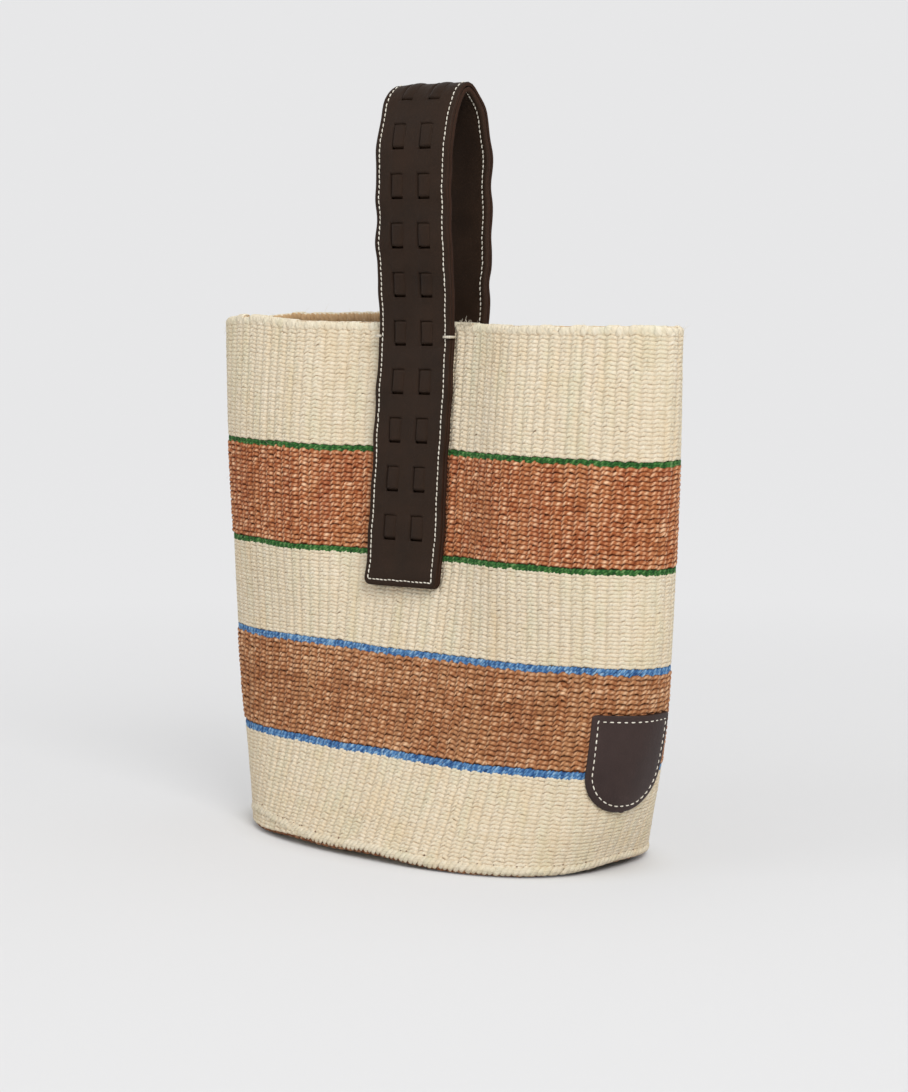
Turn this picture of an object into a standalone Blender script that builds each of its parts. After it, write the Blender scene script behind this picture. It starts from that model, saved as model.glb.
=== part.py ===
"""Kiondo basket with a laced leather strap.

A tall sisal basket, oval at the base and pressed nearly flat at the mouth. Upright warp strands
carry twined wefts in coloured bands. One double leather strap, with two laces woven through slots
in its outer layer, is sewn up the front, stands as a loop over the mouth and runs down the back.

Metres, +Z up. The front faces -Y, and the origin lies under the middle of the base.
"""

from math import ceil, cos, pi, radians, sin

import bmesh
import bpy
import numpy as np
from mathutils import Matrix, Vector

# Clearances and the smallest steps
GAP = 0.0003
OVERRUN = 0.002
WELD = 0.00001

# Weft bands, from the floor up
BASE_CORNER = 0.0042
EDGE_ROW = 0.0034
LOWER_NATURAL = 0.0527
BLUE_STRIPE = 0.0036
BROWN_BAND = 0.0512
MIDDLE_NATURAL = 0.0502
GREEN_STRIPE = 0.0026
TERRACOTTA_BAND = 0.0545
UPPER_NATURAL = 0.0690
RIM_BINDING = 0.0070
RIM_WAVE = 0.0030

# Basket plan and wall
BASE_WIDTH = 0.246
BASE_DEPTH = 0.146
MOUTH_WIDTH = 0.324
MOUTH_DEPTH = 0.052
PINCH_REACH = 0.060
WARP_THICKNESS = 0.0026
WEFT_THICKNESS = 0.0011
EDGE_ROW_BULGE = 0.0005
RIM_ROUNDING = 0.0008

# How the plan changes with height: height, base-to-mouth width, base-to-mouth depth, how far
# the strap pinches it in, and how much deeper its right side is than its left
WALL_SHARES = (
    (0.00, 0.00, 0.00, 0.00, 0.08),
    (0.19, 0.50, 0.55, 0.00, 0.10),
    (0.38, 0.74, 0.77, 0.08, 0.09),
    (0.56, 0.81, 0.75, 0.36, 0.08),
    (0.76, 0.91, 0.82, 0.48, 0.00),
    (1.00, 1.00, 1.00, 0.60, -0.06),
)
PLAN_SQUARENESS = 2.5
PINCH_SQUARENESS = 4
COLUMNS = 44
BAND_ROWS = 2
CORNER_ROWS = 2
BASE_RING_SHARE = 0.55
FINE_STEPS = 1800

# Strap
STRAP_WIDTH = 0.052
STRAP_OUTER = 0.0022
STRAP_LINING = 0.0030
STRAP_CORNER = 0.0040
CORNER_STEPS = 3
STRAP_END_HEIGHT = 0.1455
STRAP_OFFSET = 0.0032
STRAP_LEAN = 0.0026
WALL_STATIONS = 12
LOOP_DEPTH = 0.040
LOOP_TOP = 0.1315
LEG_SHARES = (0.25, 0.4, 0.6, 0.8)
LEG_OPENING = 1.6
ARCH_HEIGHT = 0.050
ARCH_STATIONS = 10
PLAIN_END = 0.0255
LACE_PITCH = 0.0269
LACE_OVER = 0.0136
LACE_WIDTH = 0.0080
LACE_THICKNESS = 0.0010
LACE_SPACING = 0.0194
LACE_TAIL = 0.008
SLOT_LENGTH = 0.0030
BEND_MARGIN = 0.0010
PATH_STEP = 0.0005
SEAT_SAMPLES = 15
ROW_LENGTH = 0.014
ROW_TURN = radians(17)

# Thread ties that hold the strap's edges to the rim
TIE_DROP = 0.007
TIE_DIAMETER = 0.0011
TIE_INSET = 0.0030

# Leather patch on the right front corner
PATCH_WIDTH = 0.047
PATCH_HEIGHT = 0.0525
PATCH_THICKNESS = 0.0020
PATCH_ROUND = 0.0215
PATCH_ROUND_STEPS = 8
PATCH_CORNER = 0.0020
PATCH_LOW = 0.0350
PATCH_FROM_END = 0.0135
PATCH_COLUMN = 0.005

# Derived heights
BANDS = (
    ("weft_natural_lower", LOWER_NATURAL, "natural"),
    ("stripe_blue_lower", BLUE_STRIPE, "blue"),
    ("weft_brown", BROWN_BAND, "brown"),
    ("stripe_blue_upper", BLUE_STRIPE, "blue"),
    ("weft_natural_middle", MIDDLE_NATURAL, "natural"),
    ("stripe_green_lower", GREEN_STRIPE, "green"),
    ("weft_terracotta", TERRACOTTA_BAND, "terracotta"),
    ("stripe_green_upper", GREEN_STRIPE, "green"),
    ("weft_natural_upper", UPPER_NATURAL, "natural"),
)
RIM_HEIGHT = sum(height for _, height, _ in BANDS)
RIM_FOOT = RIM_HEIGHT - RIM_BINDING
WAVE_FOOT = RIM_HEIGHT - UPPER_NATURAL
EDGE_ROW_FOOT = BASE_CORNER
LOWER_BAND_FOOT = EDGE_ROW_FOOT + EDGE_ROW + GAP
SHELL_DEPTH = WEFT_THICKNESS + GAP
OUTER_LOW = GAP
OUTER_HIGH = OUTER_LOW + STRAP_OUTER
LACE_HIGH_LEVEL = OUTER_HIGH + GAP
GROOVE_DEPTH = LACE_THICKNESS + GAP

MATERIALS = {
    "natural": ((0.67, 0.57, 0.39), 0.85),
    "terracotta": ((0.38, 0.16, 0.08), 0.85),
    "brown": ((0.35, 0.17, 0.085), 0.85),
    "green": ((0.03, 0.13, 0.04), 0.8),
    "blue": ((0.07, 0.19, 0.42), 0.8),
    "leather": ((0.035, 0.020, 0.014), 0.5),
    "thread": ((0.74, 0.67, 0.55), 0.7),
}


def start_collections():
    """Empty the scene, and make the basket's collection and the cutters'."""
    for old in list(bpy.data.objects):
        bpy.data.objects.remove(old)
    made = []
    for name in ("kiondo_basket", "cutters"):
        collection = bpy.data.collections.new(name)
        bpy.context.scene.collection.children.link(collection)
        made.append(collection)
    return made


def material(name, slot):
    """A node's own material, from its slot's colour and roughness."""
    colour, roughness = MATERIALS[slot]
    made = bpy.data.materials.new(name)
    made.use_nodes = True
    shader = made.node_tree.nodes["Principled BSDF"]
    shader.inputs["Base Color"].default_value = (*colour, 1)
    shader.inputs["Roughness"].default_value = roughness
    made.diffuse_color = (*colour, 1)
    return made


def place(name, mesh, slot):
    """Put a mesh in the basket's collection under its node's name."""
    node = bpy.data.objects.new(name, mesh)
    mesh.materials.clear()
    mesh.materials.append(material(name, slot))
    PARTS.objects.link(node)
    return node


def smooth_step(share):
    """Ease from 0 to 1, flat at both ends."""
    share = min(max(share, 0), 1)
    return share * share * (3 - 2 * share)


def share_at(height_share, column):
    """Read one column of WALL_SHARES at a height, on a smooth curve through its rows."""
    heights = [row[0] for row in WALL_SHARES]
    values = [row[column] for row in WALL_SHARES]
    slopes = np.gradient(values, heights)
    low = int(np.clip(np.searchsorted(heights, height_share) - 1, 0, len(heights) - 2))
    span = heights[low + 1] - heights[low]
    t = (height_share - heights[low]) / span
    return (
        (2 * t**3 - 3 * t**2 + 1) * values[low]
        + (t**3 - 2 * t**2 + t) * span * slopes[low]
        + (3 * t**2 - 2 * t**3) * values[low + 1]
        + (t**3 - t**2) * span * slopes[low + 1]
    )


def plan_at(height):
    """Half width, half depth, pinch and right-hand fullness of the wall's outer face at a height."""
    share = min(max(height / RIM_HEIGHT, 0), 1)
    width = BASE_WIDTH + share_at(share, 1) * (MOUTH_WIDTH - BASE_WIDTH)
    depth = BASE_DEPTH + share_at(share, 2) * (MOUTH_DEPTH - BASE_DEPTH)
    return width / 2, depth / 2, share_at(share, 3), share_at(share, 4)


def strap_centre(height):
    """X of the strap's middle line, which leans a little as it climbs to the rim."""
    climbed = (height - STRAP_END_HEIGHT) / (RIM_HEIGHT - STRAP_END_HEIGHT)
    return -STRAP_OFFSET - STRAP_LEAN * min(max(climbed, 0), 1)


def pinched(x, height, pinch):
    """Share of its depth that the wall keeps at x, where the strap draws it in."""
    return 1 - pinch * np.exp(-((abs(x - strap_centre(height)) / PINCH_REACH) ** PINCH_SQUARENESS))


def corner_inset(height):
    """How far the wall is drawn in where it turns under to the base."""
    if height >= BASE_CORNER:
        return 0.0
    rise = 1 - height / BASE_CORNER
    return BASE_CORNER * (1 - (1 - rise * rise) ** 0.5)


def flat_wall_point(angle, height):
    """The wall's outer face before it turns under and before the rim waves."""
    half_width, half_depth, pinch, fullness = plan_at(height)
    power = 2 / PLAN_SQUARENESS
    x = half_width * np.sign(cos(angle)) * abs(cos(angle)) ** power
    y = half_depth * np.sign(sin(angle)) * abs(sin(angle)) ** power
    y *= 1 + fullness * x / half_width
    return Vector((x, y * pinched(x, height, pinch), height))


def wall_point(angle, height):
    """The wall's outer face at an angle round the basket and a height up it."""
    point = flat_wall_point(angle, height)
    inset = corner_inset(height)
    if inset:
        step = pi / COLUMNS / BAND_ROWS
        along = flat_wall_point(angle + step, height) - flat_wall_point(angle - step, height)
        point -= Vector((along.y, -along.x, 0)).normalized() * inset
    if sin(angle) > 0:
        lift = smooth_step((height - WAVE_FOOT) / UPPER_NATURAL)
        point.z -= RIM_WAVE * lift * sin(2 * angle)
    return point


def wall_normal(angle, height):
    """The outward normal of the wall's outer face."""
    turn = pi / COLUMNS / BAND_ROWS
    rise = GAP
    along = wall_point(angle + turn, height) - wall_point(angle - turn, height)
    low = max(height - rise, 0)
    up = wall_point(angle, height + rise) - wall_point(angle, low)
    return along.cross(up).normalized()


def column_angles():
    """Angles of the wall's columns, closer where the plan turns more."""
    middle = RIM_HEIGHT / 2
    fine = np.linspace(0, 2 * pi, FINE_STEPS)
    points = [wall_point(angle, middle) for angle in fine]
    edges = [after - before for before, after in zip(points, points[1:])]
    length = sum(edge.length for edge in edges)
    turns = [0.0] + [a.angle(b) for a, b in zip(edges, edges[1:])]
    weights = [edge.length / length + turn / (2 * pi) for edge, turn in zip(edges, turns)]
    travelled = np.concatenate(([0], np.cumsum(weights)))
    targets = np.linspace(0, travelled[-1], COLUMNS + 1)[:-1]
    return list(np.interp(targets, travelled, fine))


def ring(height, depth=0.0):
    """One row of wall points, set in from the outer face by a depth."""
    return [wall_point(a, height) - wall_normal(a, height) * depth for a in ANGLES]


def sheet(name, slot, rows, thickness, centre=None):
    """A closed shell from rows of points, running up the outer face, thickened inwards.

    A centre point closes the lowest row, as a base does.
    """
    mesh = bpy.data.meshes.new(name)
    shape = bmesh.new()
    loops = [[shape.verts.new(point) for point in row] for row in rows]
    for low, high in zip(loops, loops[1:]):
        for k, start in enumerate(low):
            after = (k + 1) % len(low)
            shape.faces.new((start, low[after], high[after], high[k]))
    if centre is not None:
        middle = shape.verts.new(centre)
        for k, start in enumerate(loops[0]):
            shape.faces.new((middle, loops[0][(k + 1) % len(loops[0])], start))
    shape.to_mesh(mesh)
    shape.free()
    node = place(name, mesh, slot)
    shell = node.modifiers.new("thickness", "SOLIDIFY")
    shell.thickness = thickness
    shell.offset = -1
    shell.use_even_offset = True
    return node


def corner_heights(top):
    """Heights of the rows that turn from the flat base up to a given height."""
    turns = [pi / 2 * k / CORNER_ROWS for k in range(CORNER_ROWS)]
    return [BASE_CORNER * (1 - cos(turn)) for turn in turns] + [top]


def base_rows(top, depth):
    """Rows from inside the flat base, round its corner and up to a height."""
    rows = [ring(height, depth) for height in corner_heights(top)]
    foot = rows[0]
    inner = [Vector((p.x * BASE_RING_SHARE, p.y * BASE_RING_SHARE, p.z)) for p in foot]
    level = sum(point.z for point in foot) / len(foot)
    for row in (inner, foot):
        for point in row:
            point.z = level
    return [inner] + rows, Vector((0, 0, level))


def build_base():
    """The twined base, with its corner turned up, and the row where base and wall meet."""
    rows, centre = base_rows(EDGE_ROW_FOOT - GAP, 0.0)
    sheet("weft_base", "natural", rows, WEFT_THICKNESS, centre)
    middle = EDGE_ROW_FOOT + EDGE_ROW / 2
    rows = [
        ring(EDGE_ROW_FOOT),
        ring(middle, -EDGE_ROW_BULGE),
        ring(EDGE_ROW_FOOT + EDGE_ROW),
    ]
    sheet("base_edge_row", "natural", rows, WEFT_THICKNESS)


def build_bands():
    """The wefts, one solid ring for each colour band."""
    foot = 0.0
    for name, height, slot in BANDS:
        low = max(foot + GAP / 2, LOWER_BAND_FOOT)
        high = min(foot + height - GAP / 2, RIM_FOOT - GAP)
        count = BAND_ROWS if height > ROW_LENGTH else 1
        heights = [low + (high - low) * k / count for k in range(count + 1)]
        sheet(name, slot, [ring(h) for h in heights], WEFT_THICKNESS)
        foot += height


def build_warp():
    """The warp strands as one shell inside the wefts: base, corner and wall."""
    rows, centre = base_rows(LOWER_BAND_FOOT, SHELL_DEPTH)
    foot = 0.0
    low = LOWER_BAND_FOOT
    for _, height, _ in BANDS:
        high = foot + height
        if height > ROW_LENGTH:
            top = min(high, RIM_HEIGHT - WEFT_THICKNESS - GAP)
            rows += [
                ring(low + (top - low) * k / BAND_ROWS, SHELL_DEPTH)
                for k in range(1, BAND_ROWS + 1)
            ]
        else:
            low = high - height / 2
            rows[-1] = ring(low, SHELL_DEPTH)
        foot = high
    sheet("warp_strands", "natural", rows, WARP_THICKNESS, centre)


def build_rim():
    """The binding that folds over the top edge of the wall."""
    inside = SHELL_DEPTH + WARP_THICKNESS + GAP + WEFT_THICKNESS
    shoulder = RIM_HEIGHT - RIM_ROUNDING
    rows = [
        ring(RIM_FOOT),
        ring(shoulder),
        ring(RIM_HEIGHT, RIM_ROUNDING),
        ring(RIM_HEIGHT, inside - RIM_ROUNDING),
        ring(shoulder, inside),
        ring(RIM_FOOT, inside),
    ]
    sheet("rim_binding", "natural", rows, WEFT_THICKNESS)


def seat_depth(height):
    """How far out the strap's back lies, just clear of the wall's columns across its width."""
    columns = [wall_point(angle, height) for angle in ANGLES if sin(angle) > 0]
    columns.sort(key=lambda point: point.x)
    places = strap_centre(height) + STRAP_WIDTH * np.linspace(-0.5, 0.5, SEAT_SAMPLES)
    depths = np.interp(places, [p.x for p in columns], [p.y for p in columns])
    return float(max(depths)) + GAP


def strap_route():
    """The strap's middle line on the outer face of its lining, from the front end to the back.

    It follows the wall to the rim, opens into the loop's legs and closes in a half ellipse.
    """
    arch_foot = RIM_HEIGHT + LOOP_TOP - ARCH_HEIGHT
    arch_depth = LOOP_DEPTH / 2 - OUTER_HIGH
    arch_rise = ARCH_HEIGHT - OUTER_HIGH
    rim_depth = seat_depth(RIM_HEIGHT) + STRAP_LINING
    half = []
    for height in np.linspace(STRAP_END_HEIGHT, RIM_FOOT, WALL_STATIONS):
        half.append((seat_depth(height) + STRAP_LINING, height))
    for share in LEG_SHARES:
        opened = smooth_step(LEG_OPENING * share)
        depth = rim_depth + (arch_depth - rim_depth) * opened
        half.append((depth, RIM_HEIGHT + share * (arch_foot - RIM_HEIGHT)))
    for turn in np.linspace(0, pi / 2, ARCH_STATIONS):
        half.append((arch_depth * cos(turn), arch_foot + arch_rise * sin(turn)))
    front = [Vector((strap_centre(z), -y, z)) for y, z in half]
    back = [Vector((strap_centre(z), y, z)) for y, z in reversed(half[:-1])]
    return even_steps(smooth_curve(front + back))


def smooth_curve(points):
    """A Catmull-Rom curve through points, as many short steps."""
    ends = [2 * points[0] - points[1], *points, 2 * points[-1] - points[-2]]
    curve = []
    for a, b, c, d in zip(ends, ends[1:], ends[2:], ends[3:]):
        count = ceil((c - b).length / PATH_STEP)
        for k in range(count):
            t = k / count
            curve.append(
                (2 * b + (c - a) * t + (2 * a - 5 * b + 4 * c - d) * t**2
                 + (3 * b - a - 3 * c + d) * t**3) / 2
            )
    return curve + [points[-1]]


def even_steps(points):
    """Distances along a curve and its points, as arrays."""
    places = np.array(points)
    steps = np.linalg.norm(np.diff(places, axis=0), axis=1)
    return np.concatenate(([0], np.cumsum(steps))), places


def route_frame(distance):
    """Place, direction, width direction and outward direction at a distance along the strap."""
    travelled, places = ROUTE

    def at(where):
        return Vector([np.interp(where, travelled, places[:, k]) for k in range(3)])

    along = (at(distance + PATH_STEP) - at(distance - PATH_STEP)).normalized()
    across = (along * along.x - Vector((1, 0, 0))).normalized()
    return at(distance), along, across, along.cross(across).normalized()


def lace_stretches():
    """Start and end of each stretch of lace that lies on top of the outer leather.

    They repeat from both ends at the lace's pitch, and one longer stretch crosses the crown.
    """
    crown = STRAP_LENGTH / 2 - PLAIN_END - LACE_OVER / 2
    cells = int(crown / LACE_PITCH)
    starts = [PLAIN_END + cell * LACE_PITCH for cell in range(cells + 1)]
    front = [(start, start + LACE_OVER) for start in starts[:-1]]
    back = [(STRAP_LENGTH - end, STRAP_LENGTH - start) for start, end in reversed(front)]
    return [*front, (starts[-1], STRAP_LENGTH - starts[-1]), *back]


def first_bend():
    """Start and end of the first plain stretch that lies wholly above the rim."""
    for (_, low), (high, _) in zip(LACE_STRETCHES, LACE_STRETCHES[1:]):
        if route_frame(low)[0].z > RIM_HEIGHT + GAP:
            return low + BEND_MARGIN, high - BEND_MARGIN
    raise ValueError("no plain stretch of strap lies above the rim")


def slot_spans():
    """Start and end of every slot along the strap, two for each stretch of lace on top."""
    spans = []
    for start, end in LACE_STRETCHES:
        spans += [(start, start + SLOT_LENGTH), (end - SLOT_LENGTH, end)]
    return spans


def lace_level(distance):
    """Height of a lace's underside above the lining's face at a distance along the strap."""
    for start, end in LACE_STRETCHES:
        if start < distance < end:
            rise = min(distance - start, end - distance) / SLOT_LENGTH
            return -LACE_THICKNESS + min(rise, 1) * (LACE_HIGH_LEVEL + LACE_THICKNESS)
    return -LACE_THICKNESS


def strap_rows(start, end):
    """Distances where the strap's layers bend: its slots' edges, and more where it turns."""
    marks = sorted({edge for span in slot_spans() for edge in span if start < edge < end})
    rows = []
    for low, high in zip([start, *marks], [*marks, end]):
        middle = (low + high) / 2
        before, halfway, after = (route_frame(where)[1] for where in (low, middle, high))
        turn = before.angle(halfway) + halfway.angle(after)
        count = max(ceil(turn / ROW_TURN), ceil((high - low) / ROW_LENGTH))
        rows += [low + (high - low) * k / count for k in range(1, count)]
        rows.append(high)
    return rows[:-1]


def block(shape, low, high):
    """Add a box between two corners to a bmesh, and return its vertices."""
    size = Vector(high) - Vector(low)
    middle = (Vector(high) + Vector(low)) / 2
    move = Matrix.Translation(middle) @ Matrix.Diagonal((*size, 1))
    return bmesh.ops.create_cube(shape, size=1, matrix=move)["verts"]


def round_corners(shape, axis, value, radius, segments=CORNER_STEPS):
    """Round the upright edges of a flat piece at one end of an axis."""
    edges = [
        edge for edge in shape.edges
        if abs(edge.verts[0].co.z - edge.verts[1].co.z) > WELD
        and abs(edge.verts[0].co[axis] - value) < WELD
    ]
    bmesh.ops.bevel(
        shape, geom=edges, offset=radius, offset_type="OFFSET", segments=segments,
        profile=0.5, affect="EDGES",
    )


def split_at(shape, axis, places):
    """Cut a flat piece across at each place along an axis, so that it can bend there."""
    normal = Vector((0, 0, 0))
    normal[axis] = 1
    for place_at in places:
        bmesh.ops.bisect_plane(
            shape, geom=shape.verts[:] + shape.edges[:] + shape.faces[:],
            dist=WELD, plane_co=normal * place_at, plane_no=normal,
        )


def cut(mesh, name, boxes):
    """Take boxes out of a flat mesh."""
    shape = bmesh.new()
    for low, high in boxes:
        block(shape, low, high)
    cutter_mesh = bpy.data.meshes.new(name + "_cutter")
    shape.to_mesh(cutter_mesh)
    shape.free()
    cutter = bpy.data.objects.new(name + "_cutter", cutter_mesh)
    CUTTERS.objects.link(cutter)
    cutter.hide_render = True
    cutter.display_type = "WIRE"
    blank = bpy.data.objects.new(name + "_blank", mesh)
    CUTTERS.objects.link(blank)
    boolean = blank.modifiers.new("slots", "BOOLEAN")
    boolean.object = cutter
    boolean.operation = "DIFFERENCE"
    bpy.context.view_layer.update()
    seen = blank.evaluated_get(bpy.context.evaluated_depsgraph_get())
    made = bpy.data.meshes.new_from_object(seen)
    bpy.data.objects.remove(blank)
    return made


def lay_on_route(mesh, level=None):
    """Bend a flat piece along the strap's route: x runs along it, y across it, z outwards."""
    frames = {}
    for vertex in mesh.vertices:
        along, across, out = vertex.co
        key = round(along / WELD)
        if key not in frames:
            frames[key] = route_frame(along)
        place_at, _, sideways, outward = frames[key]
        if level:
            out += level(along)
        vertex.co = place_at + sideways * across + outward * out


def strap_layer(name, start, end, low, high, boxes):
    """One leather layer of the strap between two distances, with boxes cut from it."""
    half = STRAP_WIDTH / 2
    shape = bmesh.new()
    block(shape, (start, -half, low), (end, half, high))
    if start == 0:
        round_corners(shape, 0, start, STRAP_CORNER)
    if end == STRAP_LENGTH:
        round_corners(shape, 0, end, STRAP_CORNER)
    rows = strap_rows(start, end)
    split_at(shape, 0, rows)
    mesh = bpy.data.meshes.new(name)
    shape.to_mesh(mesh)
    if boxes:
        mesh = cut(mesh, name, boxes)
        shape.clear()
        shape.from_mesh(mesh)
        split_at(shape, 0, rows)
        shape.to_mesh(mesh)
    shape.free()
    lay_on_route(mesh)
    return place(name, mesh, "leather")


def lace_lanes():
    """Each lace's side and the middle of its lane, measured across the strap to the left."""
    return (("left", LACE_SPACING / 2), ("right", -LACE_SPACING / 2))


def strap_stretch(prefix, start, end):
    """The three layers of one stretch of strap: outer leather, lining and both laces."""
    reach = LACE_WIDTH / 2 + GAP
    laces_start = max(start, PLAIN_END - LACE_TAIL)
    laces_end = min(end, STRAP_LENGTH - PLAIN_END + LACE_TAIL)
    slots = [
        ((low, lane - reach, -OVERRUN), (high, lane + reach, OUTER_HIGH + OVERRUN))
        for low, high in slot_spans() if start < low and high < end
        for _, lane in lace_lanes()
    ]
    outer = strap_layer(prefix + "_outer", start, end, OUTER_LOW, OUTER_HIGH, slots)
    from_end = laces_start - GAP if laces_start > start else start - OVERRUN
    to_end = laces_end + GAP if laces_end < end else end + OVERRUN
    grooves = [
        ((from_end, lane - reach, -GROOVE_DEPTH), (to_end, lane + reach, OVERRUN))
        for _, lane in lace_lanes()
    ]
    lining = strap_layer(prefix + "_lining", start, end, -STRAP_LINING, 0.0, grooves)
    layers = [outer, lining]
    for side, lane in lace_lanes():
        half = LACE_WIDTH / 2
        shape = bmesh.new()
        block(shape, (laces_start, lane - half, 0), (laces_end, lane + half, LACE_THICKNESS))
        split_at(shape, 0, strap_rows(laces_start, laces_end))
        mesh = bpy.data.meshes.new(prefix + "_lace_" + side)
        shape.to_mesh(mesh)
        shape.free()
        lay_on_route(mesh, lace_level)
        layers.append(place(mesh.name, mesh, "leather"))
    return layers


def build_strap():
    """The sewn ends, the two short stretches that bend at the rim, and the standing loop."""
    mirror_start = STRAP_LENGTH - BEND_END
    mirror_end = STRAP_LENGTH - BEND_START
    strap_stretch("strap_front", 0.0, BEND_START - GAP)
    strap_stretch("bend_front", BEND_START, BEND_END)
    loop = strap_stretch("handle", BEND_END + GAP, mirror_start - GAP)
    strap_stretch("bend_back", mirror_start, mirror_end)
    strap_stretch("strap_back", mirror_end + GAP, STRAP_LENGTH)
    middle = (BEND_START + BEND_END) / 2
    pivot = bpy.data.objects.new("handle_pivot", None)
    pivot.location = (0, 0, route_frame(middle)[0].z)
    PARTS.objects.link(pivot)
    bpy.context.view_layer.update()
    for node in loop:
        node.parent = pivot
        node.matrix_parent_inverse = pivot.matrix_world.inverted()


def build_ties():
    """A loop of thread on each edge of the strap, from its face round into the rim."""
    travelled, places = ROUTE
    radius = TIE_DIAMETER / 2
    stand = GAP + radius
    edge = STRAP_WIDTH / 2 + stand
    top = OUTER_HIGH + stand
    route = [
        (edge - stand - TIE_INSET, top),
        (edge - stand, top),
        (edge, top - stand),
        (edge, TIE_DIAMETER - STRAP_LINING),
    ]
    climb = places[: len(places) // 2, 2]
    front = float(np.interp(RIM_HEIGHT - TIE_DROP, climb, travelled[: len(climb)]))
    for face, distance in (("front", front), ("back", STRAP_LENGTH - front)):
        middle, _, sideways, outward = route_frame(distance)
        for side, sign in (("left", 1), ("right", -1)):
            name = f"rim_tie_{face}_{side}"
            line = bpy.data.curves.new(name, "CURVE")
            line.dimensions = "3D"
            line.bevel_depth = radius
            line.bevel_resolution = 1
            line.use_fill_caps = True
            thread = line.splines.new("POLY")
            thread.points.add(len(route) - 1)
            for point, (across, out) in zip(thread.points, route):
                point.co = (*(middle + sideways * sign * across + outward * out), 1)
            line.materials.append(material(name, "thread"))
            PARTS.objects.link(bpy.data.objects.new(name, line))


def patch_angles(height):
    """Angles from the wall's +X end to its front, and how far each is round the wall."""
    if height not in PATCH_ANGLES:
        angles = np.linspace(pi / 2, -pi / 2, FINE_STEPS)
        travelled, _ = even_steps([wall_point(angle, height) for angle in angles])
        PATCH_ANGLES[height] = travelled - np.interp(0, -angles, travelled), angles
    return PATCH_ANGLES[height]


def build_patch():
    """The D-shaped patch, laid flat, rounded and wrapped round the right front corner."""
    shape = bmesh.new()
    half = PATCH_WIDTH / 2
    high = PATCH_LOW + PATCH_HEIGHT
    block(shape, (-half, PATCH_LOW, 0), (half, high, PATCH_THICKNESS))
    round_corners(shape, 1, PATCH_LOW, PATCH_ROUND, PATCH_ROUND_STEPS)
    round_corners(shape, 1, high, PATCH_CORNER)
    columns = round(PATCH_WIDTH / PATCH_COLUMN)
    split_at(shape, 0, [PATCH_WIDTH * (k / columns - 0.5) for k in range(1, columns)])
    rows = ceil(PATCH_HEIGHT / ROW_LENGTH)
    split_at(shape, 1, [PATCH_LOW + PATCH_HEIGHT * k / rows for k in range(1, rows)])
    mesh = bpy.data.meshes.new("leather_patch")
    shape.to_mesh(mesh)
    shape.free()
    for vertex in mesh.vertices:
        across, height, out = vertex.co
        travelled, angles = patch_angles(height)
        angle = float(np.interp(PATCH_FROM_END - across, travelled, angles))
        seat = wall_point(angle, height)
        vertex.co = seat + wall_normal(angle, height) * (GAP + out)
    place("leather_patch", mesh, "leather")


PARTS, CUTTERS = start_collections()
PATCH_ANGLES = {}
ANGLES = column_angles()
ROUTE = strap_route()
STRAP_LENGTH = float(ROUTE[0][-1])
LACE_STRETCHES = lace_stretches()
BEND_START, BEND_END = first_bend()

build_base()
build_bands()
build_warp()
build_rim()
build_strap()
build_ties()
build_patch()
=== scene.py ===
"""Looks of a kiondo basket with a laced leather strap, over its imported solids.

Every weft stitch, rim strand, stitch of thread and fibre is a closed shell of its own.
Metres, +Z up.
"""

from math import ceil, cos, pi, radians, sin

import bmesh
import bpy
import numpy as np
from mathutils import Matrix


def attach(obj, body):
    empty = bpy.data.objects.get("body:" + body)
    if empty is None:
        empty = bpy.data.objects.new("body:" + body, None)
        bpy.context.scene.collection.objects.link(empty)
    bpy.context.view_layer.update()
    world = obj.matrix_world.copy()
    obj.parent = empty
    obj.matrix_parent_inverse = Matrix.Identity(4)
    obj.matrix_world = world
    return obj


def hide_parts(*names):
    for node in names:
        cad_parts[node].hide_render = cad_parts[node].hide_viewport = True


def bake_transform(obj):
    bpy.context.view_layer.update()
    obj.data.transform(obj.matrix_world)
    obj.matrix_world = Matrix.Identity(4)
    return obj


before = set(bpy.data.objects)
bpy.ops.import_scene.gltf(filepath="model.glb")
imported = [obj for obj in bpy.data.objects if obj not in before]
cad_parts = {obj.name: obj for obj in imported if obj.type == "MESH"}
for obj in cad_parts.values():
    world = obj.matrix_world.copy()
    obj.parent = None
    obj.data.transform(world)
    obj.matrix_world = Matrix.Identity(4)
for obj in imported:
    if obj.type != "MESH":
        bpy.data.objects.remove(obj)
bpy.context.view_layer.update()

RNG = np.random.default_rng(11)
MM = 0.001

# Wall of the basket, as the solids have it
RIM_HEIGHT = 0.2900
BASE_CORNER = 0.0042
RIM_WAVE = 0.0030
WAVE_FOOT = 0.2210
BASE_WIDTH, BASE_DEPTH = 0.246, 0.146
MOUTH_WIDTH, MOUTH_DEPTH = 0.324, 0.052
PINCH_REACH, PINCH_SQUARENESS = 0.060, 4
PLAN_SQUARENESS = 2.5
WALL_SHARES = np.array((
    (0.00, 0.00, 0.00, 0.00, 0.08),
    (0.19, 0.50, 0.55, 0.00, 0.10),
    (0.38, 0.74, 0.77, 0.08, 0.09),
    (0.56, 0.81, 0.75, 0.36, 0.08),
    (0.76, 0.91, 0.82, 0.48, 0.00),
    (1.00, 1.00, 1.00, 0.60, -0.06),
))
WALL_SLOPES = np.gradient(WALL_SHARES, WALL_SHARES[:, 0], axis=0)
INSIDE_DEPTH = 0.0038

# Where the rim has sagged or is drawn up, where the edge of the base has curled off the
# ground, and where its seam climbs the wall: place round, reach and rise
RIM_BENDS = ((0.485, 0.030, -0.0026), (0.33, 0.06, 0.0030), (0.560, 0.045, 0.0022),
             (0.97, 0.12, 0.0014))
CURL_TOP = 0.024
CURLS = ((0.66, 0.050, 0.0026), (0.76, 0.055, 0.0028), (1.0, 0.05, 0.0024))
SEAM_CLIMBS = ((0.590, 0.065, 0.0070),)

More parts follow.
